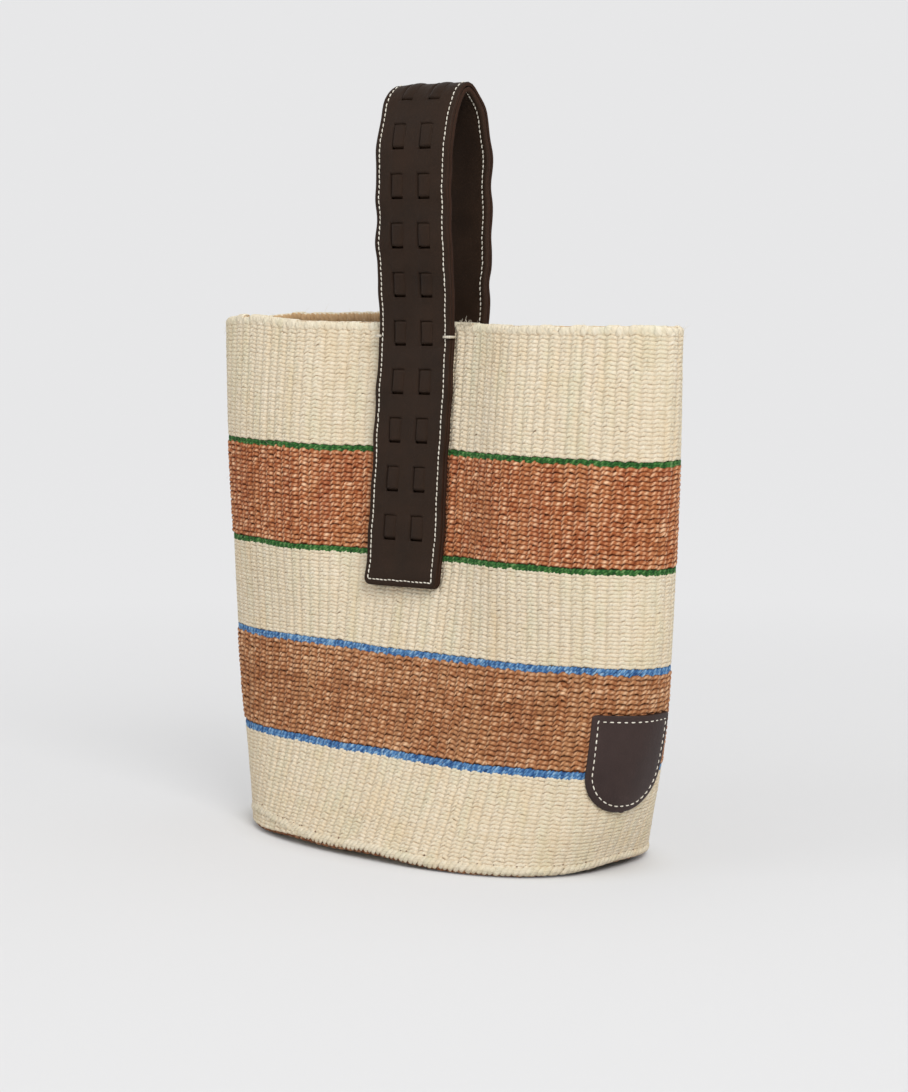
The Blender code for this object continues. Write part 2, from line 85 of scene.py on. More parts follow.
# Weave
RIBS = 100
GIRTH = 0.6714
PLIES = 2
PLY_TURNS, PLY_LEAN = 2 * pi * PLIES * RIBS / GIRTH, 0.9
BASE_REACH = 0.0700
BASE_LEVEL = 0.0007
UPPER_TOP = 0.2869
UPRIGHT_HALVES = (0.0029, 0.0011)

# Strap, as the solids have it
STRAP_WIDTH, STRAP_OUTER, STRAP_LINING = 0.052, 0.0022, 0.0030
STRAP_CORNER = 0.0040
STRAP_END_HEIGHT = 0.1455
STRAP_OFFSET, STRAP_LEAN = 0.0032, 0.0026
RIM_FOOT = 0.2830
LOOP_DEPTH, LOOP_TOP, ARCH_HEIGHT = 0.040, 0.1315, 0.050
PLAIN_END, LACE_PITCH, LACE_OVER = 0.0255, 0.0269, 0.0136
LACE_WIDTH, LACE_THICKNESS, LACE_SPACING = 0.0080, 0.0011, 0.0194
LACE_TAIL = 0.008
SLOT_REACH = LACE_WIDTH / 2 + 0.0004
OUTER_LOW = 0.0003
OUTER_HIGH = OUTER_LOW + STRAP_OUTER
SLOT, SLOT_THIN, DENT_SIDE = 0.0017, 0.0005, 0.0049
STITCH_INSET, STITCH_PITCH = 0.0031, 0.0028
# Half length, half width, half depth and dip
STRAP_STITCH = (0.00124, 0.00032, 0.00032, 0.00036)

# Patch, as the solids have it
PATCH_WIDTH, PATCH_HEIGHT, PATCH_THICKNESS = 0.047, 0.0525, 0.0020
PATCH_ROUND, PATCH_CORNER = 0.0215, 0.0020
PATCH_LOW, PATCH_FROM_END = 0.0350, 0.0135
PATCH_INSET, PATCH_PITCH = 0.0038, 0.0035
PATCH_MIDDLE = -0.0208
PATCH_STITCH = (0.00128, 0.00034, 0.00030, 0.0004)


def linear(colour):
    """A colour from 0 to 255 as the renderer's linear values."""
    values = np.array(colour) / 255
    low = values / 12.92
    high = ((values + 0.055) / 1.055) ** 2.4
    return (*np.where(values <= 0.04045, low, high), 1.0)


# Node materials

def new_material(name):
    """A node material, its tree and its shader."""
    made = bpy.data.materials.new(name)
    made.use_nodes = True
    tree = made.node_tree
    return made, tree, tree.nodes["Principled BSDF"]


def feed(tree, made, inputs):
    """Set a node's inputs to values, or link sockets to them."""
    for key, value in inputs.items():
        if isinstance(value, bpy.types.NodeSocket):
            tree.links.new(value, made.inputs[key])
        else:
            made.inputs[key].default_value = value


def node(tree, kind, inputs=None, **settings):
    """Add a node; inputs are values or sockets to link."""
    made = tree.nodes.new(kind)
    for key, value in settings.items():
        setattr(made, key, value)
    feed(tree, made, inputs or {})
    return made


def object_place(tree):
    """The place on the object."""
    return node(tree, "ShaderNodeTexCoord").outputs["Object"]


def ramp(tree, fac, stops):
    """A colour ramp over (position, colour) stops; a colour of four values is linear already."""
    made = node(tree, "ShaderNodeValToRGB", {"Fac": fac})
    band = made.color_ramp
    while len(band.elements) < len(stops):
        band.elements.new(0.5)
    for element, (place, colour) in zip(band.elements, stops):
        element.position = place
        element.color = colour if len(colour) == 4 else linear(colour)
    return made.outputs["Color"]


def mix(tree, fac, under, tint):
    """Mix a colour from 0 to 255 into another one."""
    inputs = {0: fac, 6: under, 7: linear(tint)}
    return node(tree, "ShaderNodeMix", inputs, data_type="RGBA").outputs[2]


def maths(tree, operation, a, b=0.0, c=0.0):
    """One arithmetic node."""
    return node(tree, "ShaderNodeMath", {0: a, 1: b, 2: c}, operation=operation).outputs[0]


def ranged(tree, value, low, high, bottom, top):
    """A value's range from low to high, spread over bottom to top."""
    return node(tree, "ShaderNodeMapRange", {
        "Value": value, "From Min": low, "From Max": high, "To Min": bottom, "To Max": top,
    }).outputs[0]


def bump(tree, height, strength, distance, under=None):
    """A bump from a height, over another one if given."""
    inputs = {"Height": height, "Strength": strength, "Distance": distance}
    if under is not None:
        inputs["Normal"] = under
    return node(tree, "ShaderNodeBump", inputs).outputs["Normal"]


def streaks(tree, vector, scale, detail=3.0, rough=0.5, start=(0, 0, 0)):
    """Noise drawn out along a vector's axes."""
    drawn = node(tree, "ShaderNodeMapping", {"Vector": vector, "Location": start, "Scale": scale})
    return noise(tree, drawn.outputs[0], 1.0, detail, rough)


def stitch_marks(tree):
    """Tone and painted fold shade of each stitch, and the place on its strand."""
    marks = node(tree, "ShaderNodeAttribute", attribute_name="yarn")
    parts = node(tree, "ShaderNodeSeparateColor", {"Color": marks.outputs["Color"]}).outputs
    strand = node(tree, "ShaderNodeAttribute", attribute_name="strand").outputs["Vector"]
    return parts["Red"], parts["Green"], strand


def noise(tree, vector, scale, detail=3.0, rough=0.5, distortion=0.0):
    """Noise between about 0 and 1."""
    return node(tree, "ShaderNodeTexNoise", {
        "Vector": vector, "Scale": scale, "Detail": detail, "Roughness": rough,
        "Distortion": distortion,
    }).outputs["Fac"]


def yarn(name, shades, crease_shade, ply=0.10, contrast=0.25, tints=(), twist=0.0003, sheen=0.10,
         low_darkening=0.0):
    """Two-ply sisal: tone for each stitch, slanted plies with painted highlight and shade, fibres
    along them, and painted shade in the folds between stitches.

    Tints are pairs of a colour and how strongly it clouds the dye or the raw fibre. Twist is
    how far the plies stand out, and the last setting how much the yarn darkens towards the bottom.
    """
    made, tree, shader = new_material(name)
    tone, creased, strand = stitch_marks(tree)
    fibres = streaks(tree, strand, (420, 3000, 1), 3.0, 0.65)
    axes = node(tree, "ShaderNodeSeparateXYZ", {"Vector": strand}).outputs
    phase = maths(tree, "MULTIPLY", axes["X"], PLY_TURNS)
    phase = maths(tree, "MULTIPLY_ADD", axes["Y"], -PLY_LEAN * PLY_TURNS, phase)
    phase = maths(tree, "MULTIPLY_ADD", fibres, 2.5, phase)
    plies = maths(tree, "SINE", maths(tree, "SUBTRACT", phase, pi / 2 + 1.25))
    place = object_place(tree)
    cloud = noise(tree, place, 26, 4.0, 0.6)
    # The plies lift and lower the tone along with their bump, a painted highlight and shade on
    # each ply; the fibres and the cloud are the yarn's own uneven tone.
    for part, share in ((fibres, contrast), (plies, ply), (cloud, 0.24)):
        tone = maths(tree, "MULTIPLY_ADD", part, share, tone)
    tone = maths(tree, "SUBTRACT", tone, 0.12 + contrast / 2)
    colour = ramp(tree, tone, tuple(zip((0.08, 0.36, 0.62, 0.92), shades)))
    for number, (tint, share) in enumerate(tints):
        patchy = streaks(tree, place, (95, 95, 24), 2.0, start=(3.1 * number + 1, 0, 0))
        colour = mix(tree, ranged(tree, patchy, 0.48, 0.72, 0.0, share), colour, tint)
    # Darker and duller towards the bottom, from 9 cm above the ground down.
    if low_darkening:
        level = node(tree, "ShaderNodeSeparateXYZ", {"Vector": place}).outputs["Z"]
        colour = mix(tree, ranged(tree, level, 0.09, 0.01, 0.0, low_darkening), colour, (170, 150, 116))
    # Painted shade: in the folds the colour leans towards the dye's dark fold colour, by the
    # second channel of each stitch's marks.
    colour = mix(tree, maths(tree, "MULTIPLY", creased, 0.9), colour, crease_shade)
    feed(tree, shader, {
        "Base Color": colour, "Roughness": 0.68, "Specular IOR Level": 0.18,
        "Sheen Weight": sheen, "Sheen Roughness": 0.5,
        "Normal": bump(tree, fibres, 0.5, 0.0003, bump(tree, plies, 0.6, twist))})
    return made


def leather(name, base, deep, rough=(0.40, 0.58), streak=0.0, gloss=0.09):
    """Dark leather with fine grain, slight mottling and, on raw edges, streaks."""
    made, tree, shader = new_material(name)
    place = object_place(tree)
    mottle = noise(tree, place, 42, 4.0, 0.6)
    speck = noise(tree, place, 1300, 2.0)
    colour = ramp(tree, mottle, ((0.30, deep), (0.70, base)))
    colour = mix(tree, maths(tree, "MULTIPLY", speck, 0.30), colour, deep)
    if streak:
        drawn = streaks(tree, place, (900, 900, 160))
        colour = mix(tree, maths(tree, "MULTIPLY", drawn, streak), colour, (84, 54, 40))
    grain = node(tree, "ShaderNodeTexVoronoi", {"Vector": place, "Scale": 1250.0})
    creased = bump(tree, noise(tree, place, 190, 4.0, 0.65, 0.6), 0.22, 0.0006)
    feed(tree, shader, {
        "Base Color": colour, "Roughness": ranged(tree, mottle, 0.3, 0.7, *rough),
        "Specular IOR Level": gloss,
        "Normal": bump(tree, grain.outputs["Distance"], 0.30, 0.00018, creased)})
    return made


def thread_material(name, light, dark):
    """Waxed thread, two-ply: slanted bands along each stitch."""
    made, tree, shader = new_material(name)
    tone, creased, strand = stitch_marks(tree)
    bands = node(tree, "ShaderNodeTexWave", {
        "Vector": strand, "Scale": 420.0, "Distortion": 0.6, "Detail": 1.0}).outputs["Fac"]
    tone = maths(tree, "MULTIPLY_ADD", bands, 0.35, tone)
    # Painted shade: the thread darkens at the ends of its stitches, where they dive into their
    # holes.
    colour = mix(tree, creased, ramp(tree, tone, ((0.25, dark), (0.85, light))), (120, 100, 80))
    feed(tree, shader, {"Base Color": colour, "Roughness": 0.6,
                        "Normal": bump(tree, bands, 0.4, 0.0002)})
    return made


# Shades of each dye from dark to light
NATURAL = (196, 178, 146), (220, 207, 181), (230, 219, 196), (243, 236, 220)
TAN = (156, 120, 80), (190, 152, 108), (206, 172, 130), (224, 198, 160)
TERRACOTTA = (104, 42, 14), (162, 88, 46), (200, 134, 92), (250, 206, 166)
BROWN = (104, 54, 24), (158, 98, 58), (192, 136, 94), (240, 198, 158)
GREEN = (18, 56, 20), (34, 84, 34), (58, 112, 50), (116, 154, 94)
BLUE = (30, 66, 112), (58, 102, 154), (94, 142, 188), (160, 192, 216)

# The colour after each yarn's shades is the dark that its painted shade in the folds leans
# towards.
MATERIALS = {
    "natural": yarn("sisal_natural", NATURAL, (202, 158, 106), 0.05, 0.26, (
        ((224, 200, 158), 0.32), ((206, 210, 178), 0.30)), low_darkening=0.12),
    "tan": yarn("sisal_tan", TAN, (140, 104, 62), 0.04, 0.2, twist=0.0001),
    "terracotta": yarn("sisal_terracotta", TERRACOTTA, (100, 42, 16), 0.17, 0.6, (
        ((156, 80, 56), 0.28), ((196, 138, 88), 0.30)), 0.0004, 0.03),
    "brown": yarn("sisal_brown", BROWN, (98, 52, 24), 0.15, 0.55, (
        ((154, 102, 72), 0.32), ((188, 146, 104), 0.30)), 0.0004, 0.03),
    "green": yarn("sisal_green", GREEN, (20, 48, 18), 0.16, 0.5, sheen=0.03),
    "blue": yarn("sisal_blue", BLUE, (30, 56, 98), 0.16, 0.5, sheen=0.03),
    "leather": leather("strap_leather", (49, 35, 26), (37, 26, 18)),
    "edge": leather("leather_raw_edge", (52, 35, 26), (38, 26, 19), (0.6, 0.75), 0.3),
    "lining": leather("strap_lining_leather", (58, 43, 33), (45, 33, 25), (0.55, 0.7)),
    "patch": leather("patch_leather", (62, 48, 45), (50, 38, 36), (0.36, 0.5), gloss=0.20),
    "thread": thread_material("waxed_thread", (238, 233, 220), (194, 184, 164)),
}


# Meshes from arrays

def bell(spread, *shape):
    """Random values on a bell curve round 0."""
    return spread * RNG.standard_normal(shape)


def distances(points):
    """Distance travelled along paths of points, from 0 where they start."""
    steps = np.linalg.norm(np.diff(points, axis=-2), axis=-1)
    return np.concatenate((np.zeros((*steps.shape[:-1], 1)), np.cumsum(steps, axis=-1)), -1)


def add(name, data):
    """Put an object in the scene."""
    made = bpy.data.objects.new(name, data)
    bpy.context.scene.collection.objects.link(made)
    return made


def ring_faces(rows, columns):
    """Faces of a grid of points whose rows close on themselves."""
    index = np.arange(rows * columns).reshape(rows, columns)
    after = np.roll(index, -1, 1)
    return np.stack((index[:-1], after[:-1], after[1:], index[1:]), -1).reshape(-1, 4)


def make(name, points, groups, slots, shades=None, strands=None, indices=None):
    """A smooth mesh object from points and groups of equal-sided faces."""
    mesh = bpy.data.meshes.new(name)
    points = np.array(points, np.float32).reshape(-1, 3)
    points[:, 2] = np.maximum(points[:, 2], 0)
    mesh.vertices.add(len(points))
    mesh.vertices.foreach_set("co", points.ravel())
    corners = np.concatenate([group.ravel() for group in groups]).astype(np.int32)
    totals = np.concatenate([np.full(len(group), group.shape[1]) for group in groups])
    starts = np.concatenate(([0], np.cumsum(totals)[:-1])).astype(np.int32)
    mesh.loops.add(len(corners))
    mesh.loops.foreach_set("vertex_index", corners)
    mesh.polygons.add(len(totals))
    mesh.polygons.foreach_set("loop_start", starts)
    if indices is not None:
        mesh.polygons.foreach_set("material_index", np.concatenate(indices).astype(np.int32))
    mesh.update(calc_edges=True)
    mesh.shade_smooth()
    if shades is not None:
        colours = np.ones((len(points), 4), np.float32)
        colours[:, :3] = shades.reshape(-1, 3)
        layer = mesh.attributes.new("yarn", "FLOAT_COLOR", "POINT")
        layer.data.foreach_set("color", colours.ravel())
    if strands is not None:
        layer = mesh.attributes.new("strand", "FLOAT_VECTOR", "POINT")
        layer.data.foreach_set("vector", np.ascontiguousarray(strands, np.float32).ravel())
    made = add(name, mesh)
    for slot in slots:
        mesh.materials.append(MATERIALS[slot])
    return made


def tube_faces(count, stations, sides, flip=False):
    """Sides and end caps of many closed tubes: count, then stations, then sides in order."""
    base = np.arange(count)[:, None, None] * stations * sides
    i = np.arange(stations - 1)[None, :, None] * sides
    j = np.arange(sides)[None, None, :]
    k = (j + 1) % sides
    quads = np.stack((base + i + j, base + i + sides + j, base + i + sides + k, base + i + k), -1)
    start = base[:, :, 0] + np.arange(sides)
    end = start + (stations - 1) * sides
    quads = quads.reshape(-1, 4)
    if flip:
        return [quads[:, ::-1], start[:, ::-1], end]
    return [quads, start, end[:, ::-1]]


def unit(vectors):
    """Vectors made one long."""
    return vectors / np.maximum(np.linalg.norm(vectors, axis=-1, keepdims=True), 1e-12)


def tubes(name, centres, sideways, outward, half_width, half_depth, sides, slots, tone,
          crease_shade=None, second=None):
    """Closed tubes along paths: centres (count, stations, 3) with their frames and radii.

    From the station `second` on they take the second slot.
    """
    count, stations = centres.shape[:2]
    indices = None
    if second is not None:
        past = np.arange(stations - 1)[None, :, None] >= second
        past = np.broadcast_to(past, (count, stations - 1, sides)).ravel()
        indices = [past, np.zeros(count), np.ones(count)]
    turn = (np.arange(sides) + 0.5) * 2 * pi / sides
    wide = np.cos(turn)[None, None, :, None] * half_width[:, :, None, None]
    deep = np.sin(turn)[None, None, :, None] * half_depth[:, :, None, None]
    points = centres[:, :, None] + sideways[:, :, None] * wide + outward[:, :, None] * deep
    travelled = distances(centres)
    strands = np.zeros(points.shape)
    strands[..., 0] = travelled[:, :, None] + RNG.random((count, 1, 1)) * 9
    strands[..., 1] = np.cos(turn)[None, None, :] * half_width[:, :, None]
    strands[..., 1] += RNG.random((count, 1, 1)) * 9
    shades = np.zeros(points.shape)
    shades[..., 0] = tone.reshape(count, 1, 1)
    # Painted shade: the second channel darkens the yarn or thread in its folds and at its ends.
    if crease_shade is not None:
        shades[..., 1] = crease_shade[:, :, None]
    return make(name, points, tube_faces(count, stations, sides), slots, shades, strands,
                indices)


# The wall

def smooth_step(share):
    """Ease from 0 to 1."""
    share = np.clip(share, 0, 1)
    return share * share * (3 - 2 * share)


def share_at(share, column):
    """One column of WALL_SHARES on a smooth curve through its rows."""
    heights = WALL_SHARES[:, 0]
    low = np.clip(np.searchsorted(heights, share) - 1, 0, len(heights) - 2)
    span = heights[low + 1] - heights[low]
    t = (share - heights[low]) / span
    a, b = WALL_SHARES[low, column], WALL_SHARES[low + 1, column]
    c, d = WALL_SLOPES[low, column] * span, WALL_SLOPES[low + 1, column] * span
    return ((2 * t**3 - 3 * t**2 + 1) * a + (t**3 - 2 * t**2 + t) * c
            + (3 * t**2 - 2 * t**3) * b + (t**3 - t**2) * d)


def strap_centre(height):
    """X of the strap's middle line."""
    climbed = (height - STRAP_END_HEIGHT) / (RIM_HEIGHT - STRAP_END_HEIGHT)
    return -STRAP_OFFSET - STRAP_LEAN * np.clip(climbed, 0, 1)


def plan(angle, height):
    """X and Y of the wall's outer face before it turns under."""
    share = np.clip(height / RIM_HEIGHT, 0, 1)
    half_width = (BASE_WIDTH + share_at(share, 1) * (MOUTH_WIDTH - BASE_WIDTH)) / 2
    half_depth = (BASE_DEPTH + share_at(share, 2) * (MOUTH_DEPTH - BASE_DEPTH)) / 2
    power = 2 / PLAN_SQUARENESS
    across, deep = np.cos(angle), np.sin(angle)
    x = half_width * np.sign(across) * np.abs(across) ** power
    y = half_depth * np.sign(deep) * np.abs(deep) ** power
    y = y * (1 + share_at(share, 4) * x / half_width)
    near = np.exp(-((np.abs(x - strap_centre(height)) / PINCH_REACH) ** PINCH_SQUARENESS))
    return x, y * (1 - share_at(share, 3) * near)


TABLE_HEIGHTS = np.linspace(0, RIM_HEIGHT, 59)
TABLE_ROUNDS = np.linspace(0, 1, 721)


def angle_table():
    """Angle at each even share of the way round, at each height."""
    fine = np.linspace(0, 2 * pi, 5761)
    rows = []
    for height in TABLE_HEIGHTS:
        x, y = plan(fine, np.full(len(fine), height))
        steps = np.hypot(np.diff(x), np.diff(y))
        travelled = np.concatenate(([0], np.cumsum(steps)))
        rows.append(np.interp(TABLE_ROUNDS, travelled / travelled[-1], fine))
    return np.array(rows)


ANGLES = angle_table()


def angle_at(round_share, height):
    """Angle of a place that is a share of the way round the wall."""
    turns = np.floor(round_share)
    row = np.clip(height / RIM_HEIGHT, 0, 1) * (len(TABLE_HEIGHTS) - 1)
    k = np.minimum(row.astype(int), len(TABLE_HEIGHTS) - 2)
    column = (round_share - turns) * (len(TABLE_ROUNDS) - 1)
    j = np.minimum(column.astype(int), len(TABLE_ROUNDS) - 2)
    t, u = row - k, column - j
    low = (1 - u) * ANGLES[k, j] + u * ANGLES[k, j + 1]
    high = (1 - u) * ANGLES[k + 1, j] + u * ANGLES[k + 1, j + 1]
    return (1 - t) * low + t * high + turns * 2 * pi


def rises(round_share, bends):
    """Sum of soft rises at places round the wall."""
    total = 0.0
    for centre, reach, rise in bends:
        away = (round_share - centre + 0.5) % 1 - 0.5
        total = total + rise * np.exp(-((away / reach) ** 2))
    return total


def wall(round_share, height):
    """Points of the wall's outer face."""
    round_share, height = np.broadcast_arrays(round_share, height)
    angle = angle_at(round_share, height)
    x, y = plan(angle, height)
    corner = np.clip(1 - height / BASE_CORNER, 0, 1)
    if corner.any():
        ahead, aside = plan(angle + 0.01, height)
        behind, below = plan(angle - 0.01, height)
        along = unit(np.stack((ahead - behind, aside - below), -1))
        inset = BASE_CORNER * (1 - np.sqrt(1 - corner**2))
        x = x - along[..., 1] * inset
        y = y + along[..., 0] * inset
    lift = smooth_step((height - WAVE_FOOT) / (RIM_HEIGHT - WAVE_FOOT))
    back = np.where(np.sin(angle) > 0, np.sin(2 * angle), 0)
    curled = smooth_step(1 - height / CURL_TOP)
    height = height + lift * (rises(round_share, RIM_BENDS) - RIM_WAVE * back)
    return np.stack((x, y, height + rises(round_share, CURLS) * curled), -1)


FOOT = wall(TABLE_ROUNDS, np.zeros(len(TABLE_ROUNDS)))


def foot(round_share, inwards):
    """Points of the flat base, a distance in from its rim towards the middle."""
    round_share, inwards = np.broadcast_arrays(round_share, inwards)
    share = 1 - inwards / BASE_REACH
    where = round_share - np.floor(round_share)
    x = np.interp(where, TABLE_ROUNDS, FOOT[:, 0]) * share
    y = np.interp(where, TABLE_ROUNDS, FOOT[:, 1]) * share
    z = np.interp(where, TABLE_ROUNDS, FOOT[:, 2]) * smooth_step(1 - inwards / CURL_TOP)
    return np.stack((x, y, z), -1)


def corner_arc(round_share, arc):
    """Points of the turned-up corner, by distance along its curve from the flat base."""
    return wall(round_share, BASE_CORNER * (1 - np.cos(np.clip(arc / BASE_CORNER, 0, pi / 2))))


def frame_on(surface, round_share, row):
    """Point, direction round, direction up and normal on a surface."""
    step, rise = 0.0012, 0.0004
    point = surface(round_share, row)
    along = unit(surface(round_share + step, row) - surface(round_share - step, row))
    up = unit(surface(round_share, row + rise) - surface(round_share, row - rise))
    normal = unit(np.cross(along, up))
    return point, along, up, normal


# Weave

def drift(round_share, row):
    """Slow wander of the handmade rows, in metres."""
    turn = 2 * pi * round_share
    return 0.00035 * (np.sin(3 * turn + 21 * row) + 0.6 * np.sin(7 * turn + 1.3 - 34 * row)
                      + 0.4 * np.sin(13 * turn + 2.1 + 55 * row))


def twined(name, surface, rounds, rows, pitch, slots, look, depth=None, spacing=None):
    """Arched stitches at places round and up a surface, bulging out of it.

    With a depth they lie on the surface's other side, that far in.
    """
    stations, sides = look["mesh"]
    count, per = len(rounds), look["per"]
    a = np.linspace(-1, 1, stations)[None, :, None]
    b = np.linspace(0, pi, sides)[None, None, :]

    def jitter(spread):
        return 1 + bell(spread, count, 1, 1)

    gap = (1 / (RIBS * per)) if spacing is None else spacing[:, None, None]
    taper = 1 - look["taper"] * np.abs(a) ** 3
    ragged = look["ragged"]
    tall = pitch * look["tall"] * jitter(0.05 * ragged)
    slant = look["slant"] + bell(0.16 * ragged, count, 1, 1)
    round_share = rounds[:, None, None] + a * look["reach"] * gap / 2
    # Each rib is a hill that its stitches pass over, and the rows arch on it
    hill = 0.5 - 0.5 * np.cos(2 * pi * round_share / (gap * per))
    rib = np.floor(rounds * RIBS).astype(int) % RIBS
    arch = look["arch"] * (1 + bell(0.2, RIBS)[rib][:, None, None])
    arch = arch * (1 - (2 * ((round_share / (gap * per)) % 1) - 1) ** 2)
    row = rows[:, None, None] + drift(rounds, rows)[:, None, None]
    row = row + pitch * (slant * a / 2 + arch * jitter(0.25 * ragged)
                         + bell(0.06 * ragged, count, 1, 1))
    row = row - np.cos(b) * tall / 2 * taper
    lift = look["lift"] * jitter(0.12 * ragged)
    lift = lift * (1 + bell(0.15, RIBS)[rib][:, None, None])
    out = lift * hill - look["sink"] - look["dip"] * np.abs(a) ** 2.5
    out = out + np.sin(b) * look["round"] * taper * jitter(0.08)
    round_share, row, out = np.broadcast_arrays(round_share, row, out)
    point, _, _, normal = frame_on(surface, round_share, row)
    if depth is not None:
        out = -(depth + out)
    points = point + normal * out[..., None]
    shades = np.zeros(points.shape)
    row_tone = bell(0.03, 4000)[np.round(rows / pitch).astype(int) % 4000]
    rib_tone = 0.04 * np.sin(rib * 1.7) * np.sin(rib * 0.61 + 1)
    tone = 0.5 + bell(look["uneven"], count) + row_tone + rib_tone
    # Painted highlight: the tone is lighter along the top of each stitch and darker at its sides.
    shades[..., 0] = tone[:, None, None] + look["crest_highlight"] * (np.sin(b) - 0.6)
    # Painted shade: stitches darken at their ends in the rib valleys and along the edges where
    # rows meet.
    ends, edges = look["crease_shading"]
    edges = edges * np.abs(np.cos(b)) ** 4 * (look["even"] + (1 - look["even"]) * hill)
    shades[..., 1] = np.clip(ends * (1 - hill) ** 2 + edges, 0, 1)
    # The plies keep their place on the ribs, while the fibres differ from stitch to stitch
    turn = GIRTH / (PLIES * RIBS)
    strands = np.zeros(points.shape)
    strands[..., 0] = round_share * GIRTH + turn * RNG.integers(0, 1500, (count, 1, 1))
    strands[..., 1] = (b / pi - 0.5) * tall + bell(0.0005, count, 1, 1)
    strands[..., 1] += turn / PLY_LEAN * RNG.integers(0, 1500, (count, 1, 1))
    faces = tube_faces(count, stations, sides, depth is not None)
    return make(name, points, faces, slots, shades, strands)


def rows_between(low, high, count):
    """Middle heights of evenly spaced rows, and their pitch."""
    pitch = (high - low) / count
    return low + pitch * (np.arange(count) + 0.5), pitch


def field(rows, count=RIBS):
    """Places round and up for every stitch of every row."""
    heights, rounds = np.meshgrid(rows, (np.arange(count) + 0.5) / count, indexing="ij")
    return rounds.ravel(), heights.ravel()


# Looks of the stitches; each lightens the tops of its stitches as painted highlight and darkens
# their ends and edges as painted shade.
PLAIN = {"mesh": (5, 5), "reach": 1.26, "tall": 1.20, "lift": 0.00065, "sink": 0.00035,
         "dip": 0.00008, "round": 0.00054, "slant": 0.12, "arch": 0.42, "taper": 0.10,
         "uneven": 0.05, "crease_shading": (0.16, 0.85), "even": 0.35, "crest_highlight": 0.04, "ragged": 0.4,
         "per": 2}
DYED = {**PLAIN, "mesh": (6, 6), "reach": 1.30, "tall": 1.10, "lift": 0.00095, "sink": 0.00050,
        "dip": 0.00010, "round": 0.00090, "slant": 0.16, "arch": 0.40,
        "uneven": 0.08, "crease_shading": (0.12, 1.60), "even": 0.9, "crest_highlight": 0.18, "ragged": 0.7}
SMALL = {**DYED, "reach": 1.45, "tall": 1.26, "lift": 0.0004, "sink": 0.0002, "dip": 0.0003,
         "round": 0.0006, "slant": 0.80, "arch": 0.10, "taper": 0.40, "per": 3,
         "crease_shading": (0.2, 0.6), "uneven": 0.12, "crest_highlight": 0.05}
INSIDE = {**PLAIN, "mesh": (4, 3), "lift": 0.0006, "sink": 0.0006, "round": 0.0005, "per": 1}

BANDS = (
    ("weft_natural_lower", "natural", 0.0021, 0.0527, 25, PLAIN),
    ("stripe_blue_lower", "blue", 0.0527, 0.0563, 2, SMALL),
    ("weft_brown", "brown", 0.0563, 0.1075, 20, DYED),
    ("stripe_blue_upper", "blue", 0.1075, 0.1111, 2, SMALL),
    ("weft_natural_middle", "natural", 0.1111, 0.1611, 24, PLAIN),
    ("stripe_green_lower", "green", 0.1611, 0.1641, 2, SMALL),
    ("weft_terracotta", "terracotta", 0.1641, 0.2182, 22, DYED),
    ("stripe_green_upper", "green", 0.2182, 0.2212, 2, SMALL),
    ("weft_natural_upper", "natural", 0.2212, UPPER_TOP, 30, PLAIN),
)

WOVEN = []
for band, slot, low, high, count, look in BANDS:
    heights, pitch = rows_between(low, high, count)
    outside = twined(band + "_stitches", wall, *field(heights, RIBS * look["per"]), pitch,
                     (slot,), look)
    inner_slot = "tan" if slot == "natural" else slot
    inside = twined(band + "_inside", wall, *field(heights), pitch, (inner_slot,), INSIDE,
                    INSIDE_DEPTH)
    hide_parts(band)
    WOVEN += [outside, inside]


def shaded_core(name, slot, low, high):
    """The weave behind the stitches of a band, a sheet painted dark as shade, which shows only in
    the gaps between them.
    """
    heights = np.linspace(low - 0.0004, high + 0.0004, max(3, ceil((high - low) / 0.004)))
    shares, rows = np.meshgrid(np.linspace(0, 1, 401)[:-1], heights)
    point, _, _, normal = frame_on(wall, shares, rows)
    shades = np.zeros((*shares.shape, 3))
    # Painted shade: a dull tone, pulled far towards the dark fold colour.
    shades[..., 0], shades[..., 1] = 0.3, 0.8
    return make(name, point - normal * 0.0005, [ring_faces(*shares.shape)], (slot,), shades,
                np.stack((shares * GIRTH, rows, 0 * rows), -1))


for band, slot, low, high in (
        *(entry[:4] for entry in BANDS), ("base_edge", "natural", 0.0010, 0.0062),
        ("rim", "natural", UPPER_TOP, 0.2896)):
    WOVEN.append(shaded_core(band + "_core", slot, low, high))


def warp_strands():
    """The upright strands inside the wefts, from the base's rim to the rim of the basket."""
    rounds, heights = np.meshgrid((np.arange(RIBS) + 0.5) / RIBS, np.linspace(
        0.0020, RIM_HEIGHT - 0.0012, 26), indexing="ij")
    point, along, _, normal = frame_on(wall, rounds, heights)
    centres = point - normal * (INSIDE_DEPTH / 2 + 0.0001)
    wide, deep = (np.full(rounds.shape, half) for half in UPRIGHT_HALVES)
    return tubes("warp_strands_upright", centres, along, normal, wide, deep, 6, ("tan",),
                 RNG.normal(0.45, 0.08, RIBS))


upright = warp_strands()
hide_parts("warp_strands")
WOVEN.append(upright)


